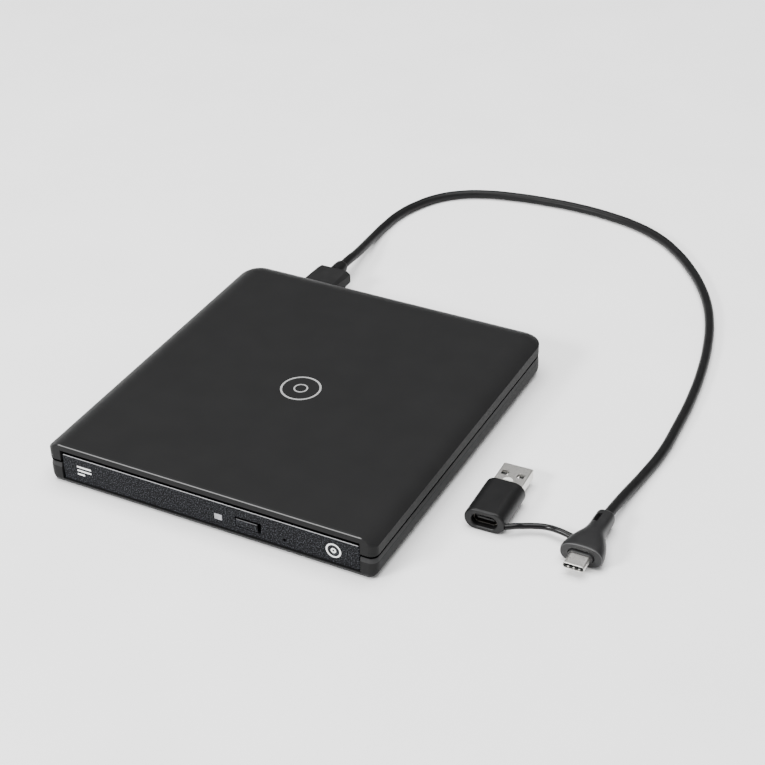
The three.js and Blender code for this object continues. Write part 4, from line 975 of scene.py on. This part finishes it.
def eject_button():
    """Cap with softened edges on a stem that reaches the switch."""
    lo, hi = corners("eject_button")
    x = middle("eject_button").x - 0.55
    cap = loft("eject_button_cap", [
        at(rounded(w, h, 0.35), x, lo.y + back, BUTTON_HEIGHT)
        for back, w, h in ((0, 4.5, 1.5), (0.1, 4.62, 1.62), (0.25, 4.7, 1.7), (2.45, 4.7, 1.7))
    ])
    join(cap, box("stem", 15.5, 20.1, lo.y + 2.2, hi.y, 5.5, 7.4))
    return show(soften(cap, 0.06, 2, 60), BUTTON, "eject_button", "bezel_plastic", "eject_button")


def led_lens():
    """Window of the activity light."""
    lo, hi = corners("led_lens")
    c = middle("led_lens")
    w, h = (hi.x - lo.x) / 2, (hi.z - lo.z) / 2
    levels = ((lo.y, 0.2), (lo.y + 0.1, 0.05), (lo.y + 0.25, 0), (hi.y, 0))
    lens = loft("led_light_pipe", [at(rounded(w - i, h - i, 0.3), c.x, y, c.z) for y, i in levels])
    return show(soften(lens), LED, "tray", "led_window", "led_lens")


bezel()
eject_button()
led_lens()
bar_mark()
ring_mark("bezel_ring_mark", 53.5, 8.2, ((3.1, 2.45), (1.1, 0.45)), on_bezel, WHITE_INK, "tray", "led_window")

# ---------------------------------------------------------------- CAD nodes that keep their shape
KEPT = {
    STEEL: (
        "case_screw_front_left", "case_screw_front_right", "case_screw_rear_left", "case_screw_rear_right",
        "board_screw_1", "board_screw_2", "catch_post", "latch_pin", "ejector_spring", "guide_rod_left",
        "guide_rod_right", "lead_screw", "rail_left", "rail_right",
    ),
    PAN_SHEET: ("drive_chassis", "traverse_cover", "latch_solenoid", "spindle_motor", "sled_motor"),
    LID_SHEET: ("drive_lid",),
    HUB_METAL: ("turntable",),
    NICKEL: ("usb_port", "rear_plug_shell"),
    ACETAL: ("rail_channel_left", "rail_channel_right", "latch_lever", "ejector_plunger", "disc_hub"),
    TRAY: ("tray", "tray_surround", "traverse_frame", "pickup_sled"),
    CHIP: ("bridge_chip", "drive_sata_plug", "sata_socket", "button_switch"),
    FOOT: ("turntable_pad",),
    BOARD: ("bridge_board", "tray_board"),
    FLEX: ("flex_cable",),
    LENS: ("objective_lens",),
}
for material, names in KEPT.items():
    for name in names:
        node = NODES[name]
        node.data.materials.clear()
        node.data.materials.append(material)
        soften(node)


# ---------------------------------------------------------------- floor and light
FLOOR_HALF = 2500


def paper_floor():
    """Wide sheet of matt, nearly white paper."""
    ring = ((-1, -1), (1, -1), (1, 1), (-1, 1))
    floor = mesh_object("floor", [(sx * FLOOR_HALF, sy * FLOOR_HALF, 0) for sx, sy in ring], [(0, 1, 2, 3)])
    paper = Nodes("paper")
    shade = paper.ramp(paper.noise(60), grey(0.93), grey(0.96))
    paper.finish(shade, paper.remap(paper.noise(3), 0.8, 0.9))
    floor.data.materials.append(paper.material)


def pale_room():
    """World that is bright on the -Y side and falls off towards +Y."""
    world = bpy.data.worlds.new("world")
    world.use_nodes = True
    sky = world.node_tree
    place = sky.nodes.new("ShaderNodeTexCoord")
    axes = sky.nodes.new("ShaderNodeSeparateXYZ")
    fade = sky.nodes.new("ShaderNodeMapRange")
    for socket, value in (("From Min", -0.2), ("From Max", 0.6), ("To Min", 1.0), ("To Max", 0.3)):
        fade.inputs[socket].default_value = value
    sky.links.new(place.outputs["Generated"], axes.inputs["Vector"])
    sky.links.new(axes.outputs["Y"], fade.inputs["Value"])
    sky.links.new(fade.outputs["Result"], sky.nodes["Background"].inputs["Color"])
    sky.nodes["Background"].inputs["Strength"].default_value = 0.8
    scene.world = world


def soft_light(name, spot, size, power):
    """Rectangular light at a spot in metres, aimed at the drive's middle."""
    data = bpy.data.lights.new(name, "AREA")
    data.shape = "RECTANGLE"
    data.size, data.size_y = size
    data.energy = power
    lamp = bpy.data.objects.new(name, data)
    lamp.location = spot
    aim = Vector((0.02, 0.02, 0.01)) - Vector(spot)
    lamp.rotation_euler = aim.to_track_quat("-Z", "Y").to_euler()
    scene.collection.objects.link(lamp)


paper_floor()
pale_room()
soft_light("top_light", (0.0, 0.1, 1.7), (1.6, 1.6), 62.0)
soft_light("key_light", (-0.6, -1.15, 0.8), (0.45, 0.25), 26.0)
